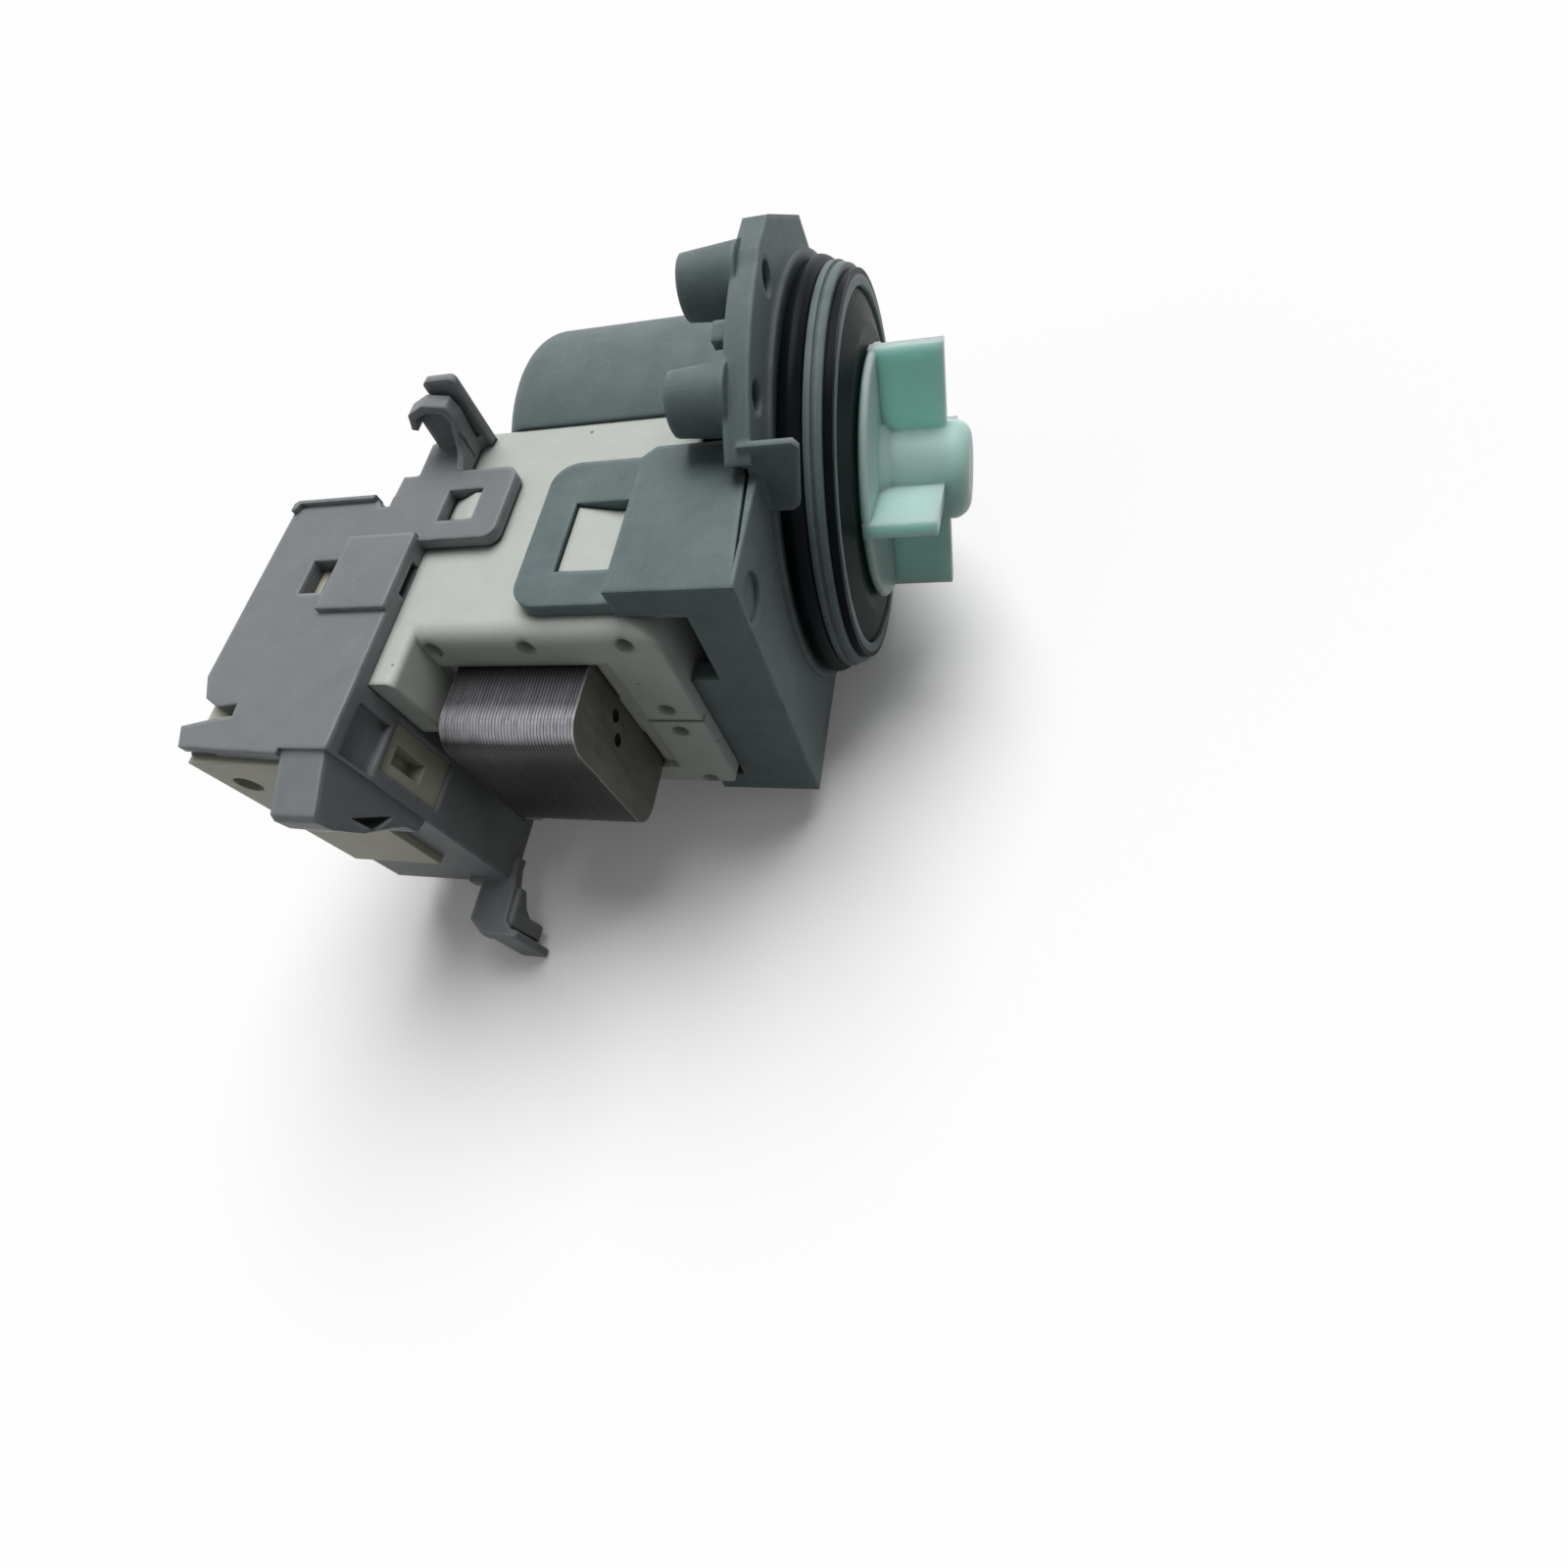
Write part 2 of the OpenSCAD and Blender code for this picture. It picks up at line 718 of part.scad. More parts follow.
module bobbin() {
  color("#d8d4c4") difference() {
    union() {
      box([tube_rear, -bobbin_near, tube_in], [tube_front, -bobbin_far, tube_out]);
      box([cavity_rear, -bobbin_near, cavity_in], [cavity_front, -bobbin_near + bobbin_flange_t, cavity_out]);
      box([cavity_rear, -bobbin_far - bobbin_flange_t, cavity_in], [cavity_front, -bobbin_far, cavity_out]);
    }
    box([stack_rear - leg_clear, -bobbin_near - cut, leg_in - leg_clear],
      [stack_front + leg_clear, -bobbin_far + cut, leg_out + leg_clear]);
  }
}

module winding() {
  near = -bobbin_near + bobbin_flange_t;
  far = -bobbin_far - bobbin_flange_t;
  color("#b06a35") along_y(near, far) difference() {
    round_rect([cavity_rear, cavity_in], [cavity_front, cavity_out], winding_t - 0.4);
    rect([tube_rear, tube_in], [tube_front, tube_out]);
  }
}

module bobbin_upper() {
  bobbin();
}

module bobbin_lower() {
  mirror([0, 0, 1]) bobbin();
}

module winding_upper() {
  winding();
}

module winding_lower() {
  mirror([0, 0, 1]) winding();
}

module thermal_fuse() {
  color("#c9c9c4") fuse_shape(0);
}

// Core

module yoke_stack() {
  dimple_r = 1.1;
  dimple_depth = 0.6;
  color("#8d9092") difference() {
    along_x(stack_rear, stack_front) {
      rect([-yoke_out + yoke_corner_r, -leg_out], [-yoke_in, leg_out]);
      rect([-yoke_out, -leg_out + yoke_corner_r], [-yoke_in, leg_out - yoke_corner_r]);
      for (side = [-1, 1])
        translate([-yoke_out + yoke_corner_r, side * (leg_out - yoke_corner_r)]) circle(r = yoke_corner_r);
    }
    for (place = [[2.7, 4.2], [5.5, 1.9]])
      translate([stack_front - dimple_depth, -yoke_in - place[0], place[1]]) rotate([0, 90, 0])
        cylinder(h = dimple_depth + cut, r = dimple_r);
  }
}

module pole_stack() {
  color("#8d9092") along_x(stack_rear, stack_front) difference() {
    polygon([[-yoke_in, leg_in], [-yoke_in, leg_out], [-can_r - 0.9, leg_out], [-9.5, shoe_half_w],
      [6, shoe_half_w], [12.5, 13], [9.8, 9.2], [0, 0], [-can_r + 1.5, leg_in]]);
    circle(r = pole_bore_r, $fn = 96);
  }
}

module pole_stack_upper() {
  pole_stack();
}

module pole_stack_lower() {
  mirror([0, 0, 1]) pole_stack();
}

// Terminal housing

module shell_outline() {
  notch_out = -59.1;
  notch_in = -60.7;
  polygon([[shell_rear, -shell_far], [notch_in - 1.2, -shell_far], [notch_in, -shell_far - 1.9],
    [notch_out, -shell_far - 1.9], [notch_out, -shell_far], [shell_front, -shell_far],
    [shell_front, -shell_near], [shell_rear + 1.3, -shell_near], [shell_rear, -shell_near + 3.1],
    [shell_rear + 5.7, -shell_near + 4.5], [shell_rear + 7.9, -shell_near + 4.8],
    [shell_rear + 7.7, -shell_near + 6.7], [shell_rear + 4.4, -shell_near + 6.2],
    [shell_rear + 1.8, -shell_near + 7.6], [shell_rear, -shell_near + 11.2]]);
}

module shell_inside() {
  rect([shell_rear - cut, -shell_near + shell_t], [shell_front - shell_t, -shell_far - shell_t]);
}

// Rib on the near wall, with its triangular slot
module shell_tongue() {
  along_x(tongue_rear, tongue_front) difference() {
    polygon([[-shell_near + 1, shell_top], [-shell_near - 0.7, shell_top - 0.8], [-74.3, 20.6], [-74.8, 19.6],
      [-74.6, 17], [-72.8, 12], [-70, 7.6], [-68.6, 5], [-68.4, 2.6], [-shell_near + 1, 1.6]]);
    polygon([[-72, 15.2], [-68.6, 8.4], [-71.7, 10.3]]);
  }
}

module tail_clip() {
  difference() {
    along_z(coil_half_h + 0.5, shell_top)
      round_rect([shell_front - 6, -tail_clip_near], [tail_clip_end, -tail_clip_far], 2);
    box([tail_window_rear, -tail_window_near, coil_half_h - cut],
      [tail_window_front, -tail_window_far, shell_top + cut]);
  }
}

// Cable hook: an arm with a curled prong and a tall straight one
module cable_hook() {
  arm_end = 9.5;
  curl_far = -11.6;
  along_z(coil_half_h, shell_top)
    polygon([[-59, -shell_far - 1], [-58.8, -18.7], [-56.1, -18.7], [-56.2, -arm_end - 2.6], [-53, -arm_end],
      [-46.8, -arm_end], [-49.4, -12.4], [-49.6, -18.4], [-50.4, -22], [shell_front + 1, -shell_far - 1]]);
  along_y(-arm_end - prong_t, -arm_end) round_rect([-52, coil_half_h], [-46.8, hook_reach], 0.8);
  // Back of the curled prong, its rim and the gusset at the foot
  along_y(curl_far - 0.9, curl_far)
    polygon([[-55, coil_half_h + 1], [-49, coil_half_h + 1], [-48.2, 25.5], [-47.7, 29.3], [-48.2, 31.4],
      [-51.7, 32], [-54, 31.1], [-54.7, 28.4]]);
  along_y(curl_far - 2.6, curl_far)
    polygon([[-49.5, coil_half_h + 1], [-48.4, coil_half_h + 1], [-48.2, 25.5], [-47.7, 29.3], [-48.2, 31.4],
      [-51.7, 32], [-54.8, 30.8], [-55.8, 28.4], [-54.9, 28.1], [-54.1, 29.9], [-51.6, 30.9], [-49.2, 30.4],
      [-48.8, 29.3], [-49.3, 25.6]]);
  along_x(-49.5, -48.5)
    polygon([[-18.2, coil_half_h + 0.6], [curl_far, coil_half_h + 0.6], [curl_far, 29], [curl_far - 2.4, 27.6],
      [curl_far - 4, 25.2], [-18.2, shell_top]]);
}

module terminal_housing() {
  shelf_t = 0.8;
  color("#82868a") {
    difference() {
      union() {
        along_z(-shell_top, shell_top) shell_outline();
        // Ledge over the insert
        along_z(insert_top, shell_top)
          polygon([[shell_rear + 1.3, -shell_near + 1], [shell_rear + 1.3, -shell_near - 0.1],
            [insert_front, -shell_near - 0.8], [insert_front, -shell_near + 1]]);
        // Raised lip along the far edge of the mouth
        along_z(shell_top - cut, shell_top + 0.7)
          polygon([[shell_rear, -shell_far - 2], [shell_rear + 0.7, -shell_far - 2], [shell_rear + 1.2, -shell_far - 0.7],
            [-62, -shell_far - 0.7], [-61.7, -shell_far], [shell_rear + 0.6, -shell_far], [shell_rear, -shell_far - 0.6]]);
        shell_tongue();
        along_z(coil_half_h, shell_top + shelf_t) rect([-62.8, -44.4], [shell_front, -31]);
      }
      along_z(-coil_half_h, coil_half_h) shell_inside();
      // Opening that shows the insert
      box([shell_rear - cut, -insert_near - cut, insert_bottom], [insert_front, -shell_near + shell_t + cut, insert_top]);
      // Ways in for the terminal blocks
      for (side = [0, 1]) mirror([0, 0, side])
        box([shell_front - shell_t - cut, -block_near - 0.2, block_in - 0.2],
          [shell_front + cut, -block_far + 0.2, coil_half_h]);
      box([-68.1, -40.8, coil_half_h - cut], [-63.6, -34.7, shell_top + shelf_t + cut]);
      // Slot in the ledge
      box([shell_rear + 0.9, -insert_near - cut, insert_top + 0.4], [-70.4, -shell_near + 0.5, insert_top + 1.2]);
      // Slit, hollow panel and window in the front wall
      box([shell_front - 1.2, -40.9, coil_half_h + 0.2], [shell_front + cut, -35, coil_half_h + 1.4]);
      box([shell_front - 1.2, -shell_near + 0.5, 15.2], [shell_front + cut, -block_near - 2.6, coil_half_h]);
      box([shell_front - shell_t - cut, -pad_near, pad_low], [shell_front + cut, -pad_far, pad_high]);
    }
    // Ramp inside the upper window
    along_y(-41, -34.5) polygon([[-63.6, coil_half_h - 0.4], [-63, coil_half_h - 0.4], [-63, shell_top - 0.4],
      [-64.4, shell_top - 0.8], [-66.6, coil_half_h + 0.2], [-66.6, coil_half_h - 0.4]]);
    tail_clip();
    mirror([0, 0, 1]) tail_clip();
    cable_hook();
    translate([0, -2 * hook_centre, 0]) rotate([180, 0, 0]) cable_hook();
  }
}

module terminal_insert() {
  well = [11, 11];
  inside_near = shell_near - shell_t;
  color("#87877a") difference() {
    union() {
      box([insert_rear, -insert_near, insert_bottom], [insert_front, -inside_near + cut, insert_top]);
      box([insert_rear, -inside_near, -coil_half_h], [insert_front, -shell_far - shell_t, coil_half_h]);
      box([insert_front - cut, -pad_near, pad_low + seat_clear],
        [shell_front - 0.5, -pad_far - seat_clear, pad_high - seat_clear]);
    }
    // Dark pocket in the pad
    box([shell_front - 3.5, -62.2, 5.7], [shell_front, -59.1, 12.2]);
    for (z = [-spade_z, spade_z])
      box([insert_rear - cut, spade_y - well[0] / 2, z - well[1] / 2],
        [insert_floor, spade_y + well[0] / 2, z + well[1] / 2]);
    for (z = [-spade_z, spade_z])
      box([insert_floor - cut, spade_y - spade_w / 2 - seat_clear, z - spade_t / 2 - seat_clear],
        [insert_front + cut, spade_y + spade_w / 2 + seat_clear, z + spade_t / 2 + seat_clear]);
    // Latch hole in the near face
    translate([-71.4, -insert_near + 2.5, 15]) rotate([90, 0, 0]) cylinder(h = 2.5 + cut, d = 4);
  }
}

module spade_terminals() {
  root = 3;
  color("#b9b59a")
    for (z = [-spade_z, spade_z])
      along_z(z - spade_t / 2, z + spade_t / 2) polygon([[block_rear + root, spade_y - spade_w / 2],
        [block_rear + root, spade_y + spade_w / 2], [insert_floor - spade_len + 1, spade_y + spade_w / 2],
        [insert_floor - spade_len, spade_y + spade_w / 2 - 1], [insert_floor - spade_len, spade_y - spade_w / 2 + 1],
        [insert_floor - spade_len + 1, spade_y - spade_w / 2]]);
}

// Rotor

module shaft() {
  chamfer = 0.4;
  rear = rear_bearing_rear;
  front = chamber_front + 1.5;
  color("#b9bcc0") turned([[0, rear], [shaft_r - chamfer, rear], [shaft_r, rear + chamfer],
    [shaft_r, front - chamfer], [shaft_r - chamfer, front], [0, front]]);
}

module rotor_magnet() {
  chamfer = 0.5;
  color("#33363a") turned([[bearing_r + seat_clear, magnet_rear], [magnet_r - chamfer, magnet_rear],
    [magnet_r, magnet_rear + chamfer], [magnet_r, magnet_front - chamfer],
    [magnet_r - chamfer, magnet_front], [bearing_r + seat_clear, magnet_front]]);
}

module rotor_sleeve() {
  flange = 7.5;
  color("#c8c4b4") turned([[press_r, sleeve_rear], [flange, sleeve_rear], [flange, magnet_rear],
    [bearing_r, magnet_rear], [bearing_r, magnet_front], [flange, magnet_front],
    [flange, sleeve_front], [press_r, sleeve_front]]);
}

module thrust_washers() {
  washer_r = 4.6;
  color("#d0cfc8") {
    ring(sleeve_front, sleeve_front + washer_t, press_r, washer_r);
    ring(sleeve_rear - washer_t, sleeve_rear, press_r, washer_r);
  }
}

module drive_dog() {
  rear = chamber_rear + 0.5;
  front = chamber_front - 0.5;
  color("#d8d4c4") {
    ring(rear, front, press_r, 3.9);
    ring_sector(rear, front, 3.8, chamber_r - 0.3, dog_at - dog_angle / 2, dog_at + dog_angle / 2);
  }
}

// Impeller

module hub_profile() {
  rect([0, disc_rear], [hub_r - nose_fillet, nose_front]);
  rect([0, disc_rear], [hub_r, nose_front - nose_fillet]);
  translate([hub_r - nose_fillet, nose_front - nose_fillet]) circle(r = nose_fillet);
}

module impeller() {
  inner = 4.3;
  color("#93cbbb") {
    difference() {
      union() {
        revolve() hub_profile();
        turned([[0, disc_rear], [disc_r - 0.4, disc_rear], [disc_r, disc_rear + 0.4],
          [disc_r, disc_front - 0.4], [disc_r - 0.4, disc_front], [hub_r + 1.6, disc_front],
          [hub_r, disc_front + 1.6], [0, disc_front + 1.6]]);
        for (i = [0:vane_count - 1]) rotate([vane_angle + i * 360 / vane_count, 0, 0])
          box([disc_rear + 0.1, hub_r - 1, -vane_t / 2], [vane_front, vane_r, vane_t / 2]);
      }
      ring(disc_rear - cut, chamber_rear, 0, cover_r + seat_clear);
      ring(chamber_rear - cut, chamber_front, 0, chamber_r);
      ring(chamber_front - cut, chamber_front + 1.9, 0, bore_r);
    }
    ring_sector(chamber_rear + 0.5, chamber_front + 0.2, inner, chamber_r + 0.2,
      lug_at - lug_angle / 2, lug_at + lug_angle / 2);
  }
}

module clutch_cover() {
  color("#7fb9a9") ring(disc_rear, chamber_rear, bore_r, cover_r);
}

module clutch_buffers() {
  rear = chamber_rear + 0.8;
  front = chamber_front - 0.3;
  color("#202224") for (side = [-1, 1]) {
    edge = lug_at + side * lug_angle / 2;
    ring_sector(rear, front, 4.35, chamber_r - seat_clear,
      min(edge, edge + side * buffer_angle), max(edge, edge + side * buffer_angle));
  }
}

front_housing();
main_oring();
rim_ring();
bearing_carrier();
shaft_seal();
front_bearing();
front_bearing_mount();
rear_bearing();
rear_bearing_mount();
coil_body_upper();
coil_body_lower();
bobbin_upper();
bobbin_lower();
winding_upper();
winding_lower();
thermal_fuse();
yoke_stack();
pole_stack_upper();
pole_stack_lower();
terminal_housing();
terminal_insert();
spade_terminals();
shaft();
rotor_magnet();
rotor_sleeve();
thrust_washers();
drive_dog();
impeller();
clutch_cover();
clutch_buffers();
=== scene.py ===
import json
import math

import bmesh
import bpy
from mathutils import Matrix, Vector


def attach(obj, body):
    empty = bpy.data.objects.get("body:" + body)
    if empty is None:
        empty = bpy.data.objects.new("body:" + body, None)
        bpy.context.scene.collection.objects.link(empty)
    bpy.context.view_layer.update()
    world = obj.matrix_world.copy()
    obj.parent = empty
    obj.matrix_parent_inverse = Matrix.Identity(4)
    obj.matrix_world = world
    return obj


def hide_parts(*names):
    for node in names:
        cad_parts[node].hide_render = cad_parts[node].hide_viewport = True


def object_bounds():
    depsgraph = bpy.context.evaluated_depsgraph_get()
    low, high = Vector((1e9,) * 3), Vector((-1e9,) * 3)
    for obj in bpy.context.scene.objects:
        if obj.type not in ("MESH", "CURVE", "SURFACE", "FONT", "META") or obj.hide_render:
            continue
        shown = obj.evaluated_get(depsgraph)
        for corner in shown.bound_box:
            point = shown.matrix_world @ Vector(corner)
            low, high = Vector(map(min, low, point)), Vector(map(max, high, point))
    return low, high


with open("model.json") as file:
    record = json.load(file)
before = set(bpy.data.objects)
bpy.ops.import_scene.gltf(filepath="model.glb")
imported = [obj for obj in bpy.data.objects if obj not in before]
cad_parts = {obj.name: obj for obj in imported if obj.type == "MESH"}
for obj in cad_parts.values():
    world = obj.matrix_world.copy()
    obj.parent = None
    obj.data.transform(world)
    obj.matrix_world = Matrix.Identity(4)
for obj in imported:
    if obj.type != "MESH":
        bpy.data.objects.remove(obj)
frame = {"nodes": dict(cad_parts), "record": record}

MM = 0.001
NODES = frame["nodes"]
cad_low, cad_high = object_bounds()

# The photograph's camera, in the pump's own frame: its place in millimetres and its directions
PHOTO_SIZE = 1600
FOCAL_PIXELS = 857.6
SENSOR = 36
NEAREST_SEEN = 0.005
CAMERA_PLACE = (33.417, -107.732, 99.364)
CAMERA_RIGHT = (0.96181, 0.14709, -0.23084)
CAMERA_DOWN = (0.02617, -0.8889, -0.45735)
CAMERA_AHEAD = (-0.27247, 0.43384, -0.8588)

# Each lamp: the direction towards it, its strength and how wide it looks in degrees
KEY_LIGHT = ((0.03, 0.47, 0.88), 2.72, 48)
SIDE_LIGHT = ((-0.8, -0.5, 0.3), 0.22, 50)
# The light of the white room on the pump; the camera and reflections see it at a strength of 1
ROOM_LIGHT = 0.145

# The table top: half its side in metres, how far below the pump it lies in millimetres, the
# grey that it has for the pump's light, and what lifts it to white where it is seen
TABLE_REACH = 6.0
TABLE_DROP = 0.05
TABLE_GREY = (0.22, 0.22, 0.22)
TABLE_LIFT = 0.06
WHITE = (1, 1, 1)

# The yoke in millimetres, as in the CAD
YOKE_IN, YOKE_OUT = -46.5, -59.5
YOKE_HALF_HEIGHT = 14.3
YOKE_CORNER = 4.5
CORNER_SEGMENTS = 9
STACK_REAR, STACK_FRONT = -44.8, -23.8

# Its sheets: how far apart they start, the gap between two and how deep it goes, and the
# core behind the gaps, which starts a little in and is shorter than the stack
SHEET_PITCH = 0.5
SHEET_GAP = 0.07
GAP_DEPTH = 0.09
CORE_SETBACK = 0.1
CORE_SHORTER = 0.6

# The burr round a sheet: its width, the longest side that has it, which leaves out the side
# against the coils, and the least angle of an edge that has it, in radians
BURR = 0.04
BURR_SIDE = 20
SHARP_ANGLE = 1

# The stacking dimples: places in Y and Z, and the share of the rim that their floor has
DIMPLES = ((-49.2, 4.2), (-52.0, 1.9))
DIMPLE_RADIUS = 1.1
DIMPLE_DEPTH = 0.35
DIMPLE_FLOOR = 0.72
DIMPLE_SEGMENTS = 24


def millimetres(point):
    """A point given in millimetres, as a vector in metres."""
    return Vector(point) * MM


def in_scene(name, data):
    """A new object in the scene."""
    made = bpy.data.objects.new(name, data)
    bpy.context.scene.collection.objects.link(made)
    return made


def mesh_object(name, mesh):
    """A finished mesh as an object in the scene."""
    data = bpy.data.meshes.new(name)
    mesh.to_mesh(data)
    mesh.free()
    return in_scene(name, data)


def rgb(colour, factor=1.0, lift=0.0):
    """An opaque colour, made lighter or darker by a factor and then a lift."""
    return (*(min(1.0, part * factor + lift) for part in colour), 1.0)


class Wiring:
    """Places the nodes of one node tree and joins them."""

    # The numbers of a Mix node's two colour inputs and its colour output
    MIX_FIRST, MIX_SECOND, MIX_RESULT = 6, 7, 2

    def __init__(self, tree):
        self.tree = tree

    def feed(self, node, inputs):
        """Gives each named or numbered input a value or another node's output."""
        for key, value in inputs.items():
            if isinstance(value, bpy.types.NodeSocket):
                self.tree.links.new(value, node.inputs[key])
            else:
                node.inputs[key].default_value = value

    def node(self, kind, inputs=None, **settings):
        """A new node with its settings and inputs."""
        node = self.tree.nodes.new(kind)
        for name, value in settings.items():
            setattr(node, name, value)
        self.feed(node, inputs or {})
        return node

    def effect(self, tree, inputs=None):
        """The outputs of a shared effect with its inputs."""
        return self.node("ShaderNodeGroup", inputs, node_tree=tree).outputs

    def math(self, operation, first, second=0.0, clamp=False):
        inputs = {0: first, 1: second}
        return self.node("ShaderNodeMath", inputs, operation=operation, use_clamp=clamp).outputs[0]

    def times(self, first, second, clamp=False):
        return self.math("MULTIPLY", first, second, clamp)

    def spread(self, value, low, high, to_low=0.0, to_high=1.0):
        """Maps a value from one range to another and keeps it there."""
        inputs = {"Value": value, "From Min": low, "From Max": high, "To Min": to_low,
                  "To Max": to_high}
        return self.node("ShaderNodeMapRange", inputs).outputs["Result"]

    def noise(self, vector, scale, detail=2.0, roughness=0.5):
        inputs = {"Vector": vector, "Scale": scale, "Detail": detail, "Roughness": roughness}
        return self.node("ShaderNodeTexNoise", inputs).outputs["Fac"]

    def drawn(self, vector, stretch, turn=(0.0, 0.0, 0.0)):
        """The place in a pattern that is turned and drawn out along one direction."""
        inputs = {"Vector": vector, "Rotation": turn, "Scale": stretch}
        return self.node("ShaderNodeMapping", inputs).outputs[0]

    def mix(self, share, first, second):
        """Mixes two colours."""
        inputs = {0: share, self.MIX_FIRST: first, self.MIX_SECOND: second}
        node = self.node("ShaderNodeMix", inputs, data_type="RGBA", clamp_factor=True)
        return node.outputs[self.MIX_RESULT]

    def bump(self, height, strength, depth, normal=None):
        """A normal bent by a height; depth is in millimetres."""
        inputs = {"Height": height, "Strength": strength, "Distance": depth * MM}
        if normal:
            inputs["Normal"] = normal
        return self.node("ShaderNodeBump", inputs).outputs["Normal"]

    def object_point(self):
        return self.node("ShaderNodeTexCoord").outputs["Object"]


# Camera, lamps, room and floor


def add_camera():
    data = bpy.data.cameras.new("photo_camera")
    data.sensor_width = SENSOR
    data.lens = FOCAL_PIXELS / PHOTO_SIZE * SENSOR
    data.clip_start = NEAREST_SEEN
    camera = in_scene("photo_camera", data)
    axes = (Vector(CAMERA_RIGHT), -Vector(CAMERA_DOWN), -Vector(CAMERA_AHEAD))
    turn = Matrix(axes).transposed().to_4x4()
    camera.matrix_world = Matrix.Translation(millimetres(CAMERA_PLACE)) @ turn
    bpy.context.scene.camera = camera


def add_sun(name, towards, strength, width):
    data = bpy.data.lights.new(name, "SUN")
    data.energy = strength
    data.angle = math.radians(width)
    in_scene(name, data).rotation_euler = Vector(towards).to_track_quat("Z", "Y").to_euler()


def empty_wiring(owner):
    """The wiring of a world or material without its default nodes."""
    owner.use_nodes = True
    owner.node_tree.nodes.clear()
    return Wiring(owner.node_tree)


def seen_ray(wiring):
    """One where the camera, a reflection or a view through glass looks, else nought."""
    path = wiring.node("ShaderNodeLightPath").outputs
    seen = wiring.math("MAXIMUM", path["Is Camera Ray"], path["Is Glossy Ray"])
    return wiring.math("MAXIMUM", seen, path["Is Transmission Ray"])


def white_room():
    """Soft light all round that looks white to the camera and in reflections."""
    world = bpy.data.worlds.new("studio")
    bpy.context.scene.world = world
    wiring = empty_wiring(world)
    strength = wiring.spread(seen_ray(wiring), 0.0, 1.0, ROOM_LIGHT, 1.0)
    room = wiring.node("ShaderNodeBackground", {"Color": rgb(WHITE), "Strength": strength})
    wiring.node("ShaderNodeOutputWorld", {"Surface": room.outputs[0]})


def pale_floor():
    """A wide white table top that keeps the pump's shadow."""
    mesh = bmesh.new()
    bmesh.ops.create_grid(mesh, x_segments=1, y_segments=1, size=TABLE_REACH)
    bmesh.ops.translate(mesh, verts=mesh.verts, vec=(0, 0, cad_low.z - TABLE_DROP * MM))
    floor = mesh_object("table_top", mesh)
    material = bpy.data.materials.new("white_table")
    wiring = empty_wiring(material)
    seen = seen_ray(wiring)
    colour = wiring.mix(seen, rgb(TABLE_GREY), rgb(WHITE))
    matt = wiring.node("ShaderNodeBsdfDiffuse", {"Color": colour})
    lift = wiring.times(seen, TABLE_LIFT)
    glow = wiring.node("ShaderNodeEmission", {"Color": rgb(WHITE), "Strength": lift})
    both = wiring.node("ShaderNodeAddShader", {0: matt.outputs[0], 1: glow.outputs[0]})
    wiring.node("ShaderNodeOutputMaterial", {"Surface": both.outputs[0]})
    floor.data.materials.append(material)


add_camera()
add_sun("key", *KEY_LIGHT)
add_sun("side", *SIDE_LIGHT)
white_room()
pale_floor()
bpy.context.scene.view_settings.view_transform = "Standard"

# Effects that several finishes share

EDGE_SAMPLES = 4


def new_group(name, inputs, outputs):
    """The wiring and the inputs of a new shader node group with its named sockets."""
    tree = bpy.data.node_groups.new(name, "ShaderNodeTree")
    for label, value in inputs.items():
        socket = tree.interface.new_socket(label, in_out="INPUT", socket_type="NodeSocketFloat")
        socket.default_value = value
    for label in outputs:
        kind = "NodeSocketVector" if label == "Normal" else "NodeSocketFloat"
        tree.interface.new_socket(label, in_out="OUTPUT", socket_type=kind)
    wiring = Wiring(tree)
    return wiring, wiring.node("NodeGroupInput").outputs


def moulded_skin_group():
    """Spark-eroded grain, cloudy tone and stray specks of a moulding."""
    inputs = {"Grain Scale": 1800.0, "Cloud Scale": 170.0, "Speck Scale": 330.0, "Speck Size": 0.1}
    wiring, given = new_group("moulded_skin", inputs, ("Grain", "Cloud", "Specks"))
    point = wiring.object_point()
    fine = wiring.noise(point, given["Grain Scale"], detail=3.0, roughness=0.6)
    cloud = wiring.noise(point, given["Cloud Scale"], detail=5.0, roughness=0.62)
    cell = wiring.node("ShaderNodeTexVoronoi", {"Vector": point, "Scale": given["Speck Scale"]})
    near = wiring.math("LESS_THAN", cell.outputs["Distance"], given["Speck Size"])
    chance = wiring.node("ShaderNodeSeparateColor", {"Color": cell.outputs["Color"]}).outputs[0]
    one_in_ten = wiring.math("GREATER_THAN", chance, 0.9)
    wiring.node("NodeGroupOutput", {"Grain": wiring.spread(fine, 0.25, 0.75),
                                    "Cloud": wiring.spread(cloud, 0.32, 0.68),
                                    "Specks": wiring.times(near, one_in_ten)})
    return wiring.tree


def handling_scuffs_group():
    """Fine scratches in two directions, in patches as handling leaves them."""
    inputs = {"Scratch Scale": 2400.0, "Patch Scale": 110.0, "Amount": 0.5}
    wiring, given = new_group("handling_scuffs", inputs, ("Scuffs",))
    point = wiring.object_point()
    scratches = []
    for turn, stretch in (((0.2, 0.5, 0.35), (1.0, 0.03, 0.2)),
                          ((1.1, 0.2, -0.9), (0.05, 1.0, 0.3))):
        along = wiring.drawn(point, stretch, turn)
        grain = wiring.noise(along, given["Scratch Scale"], detail=3.0, roughness=0.7)
        scratches.append(wiring.spread(grain, 0.6, 0.68))
    patches = wiring.spread(wiring.noise(point, given["Patch Scale"], detail=3.0), 0.5, 0.66)
    worn = wiring.times(wiring.math("MAXIMUM", *scratches), patches)
    wiring.node("NodeGroupOutput", {"Scuffs": wiring.times(worn, given["Amount"], clamp=True)})
    return wiring.tree


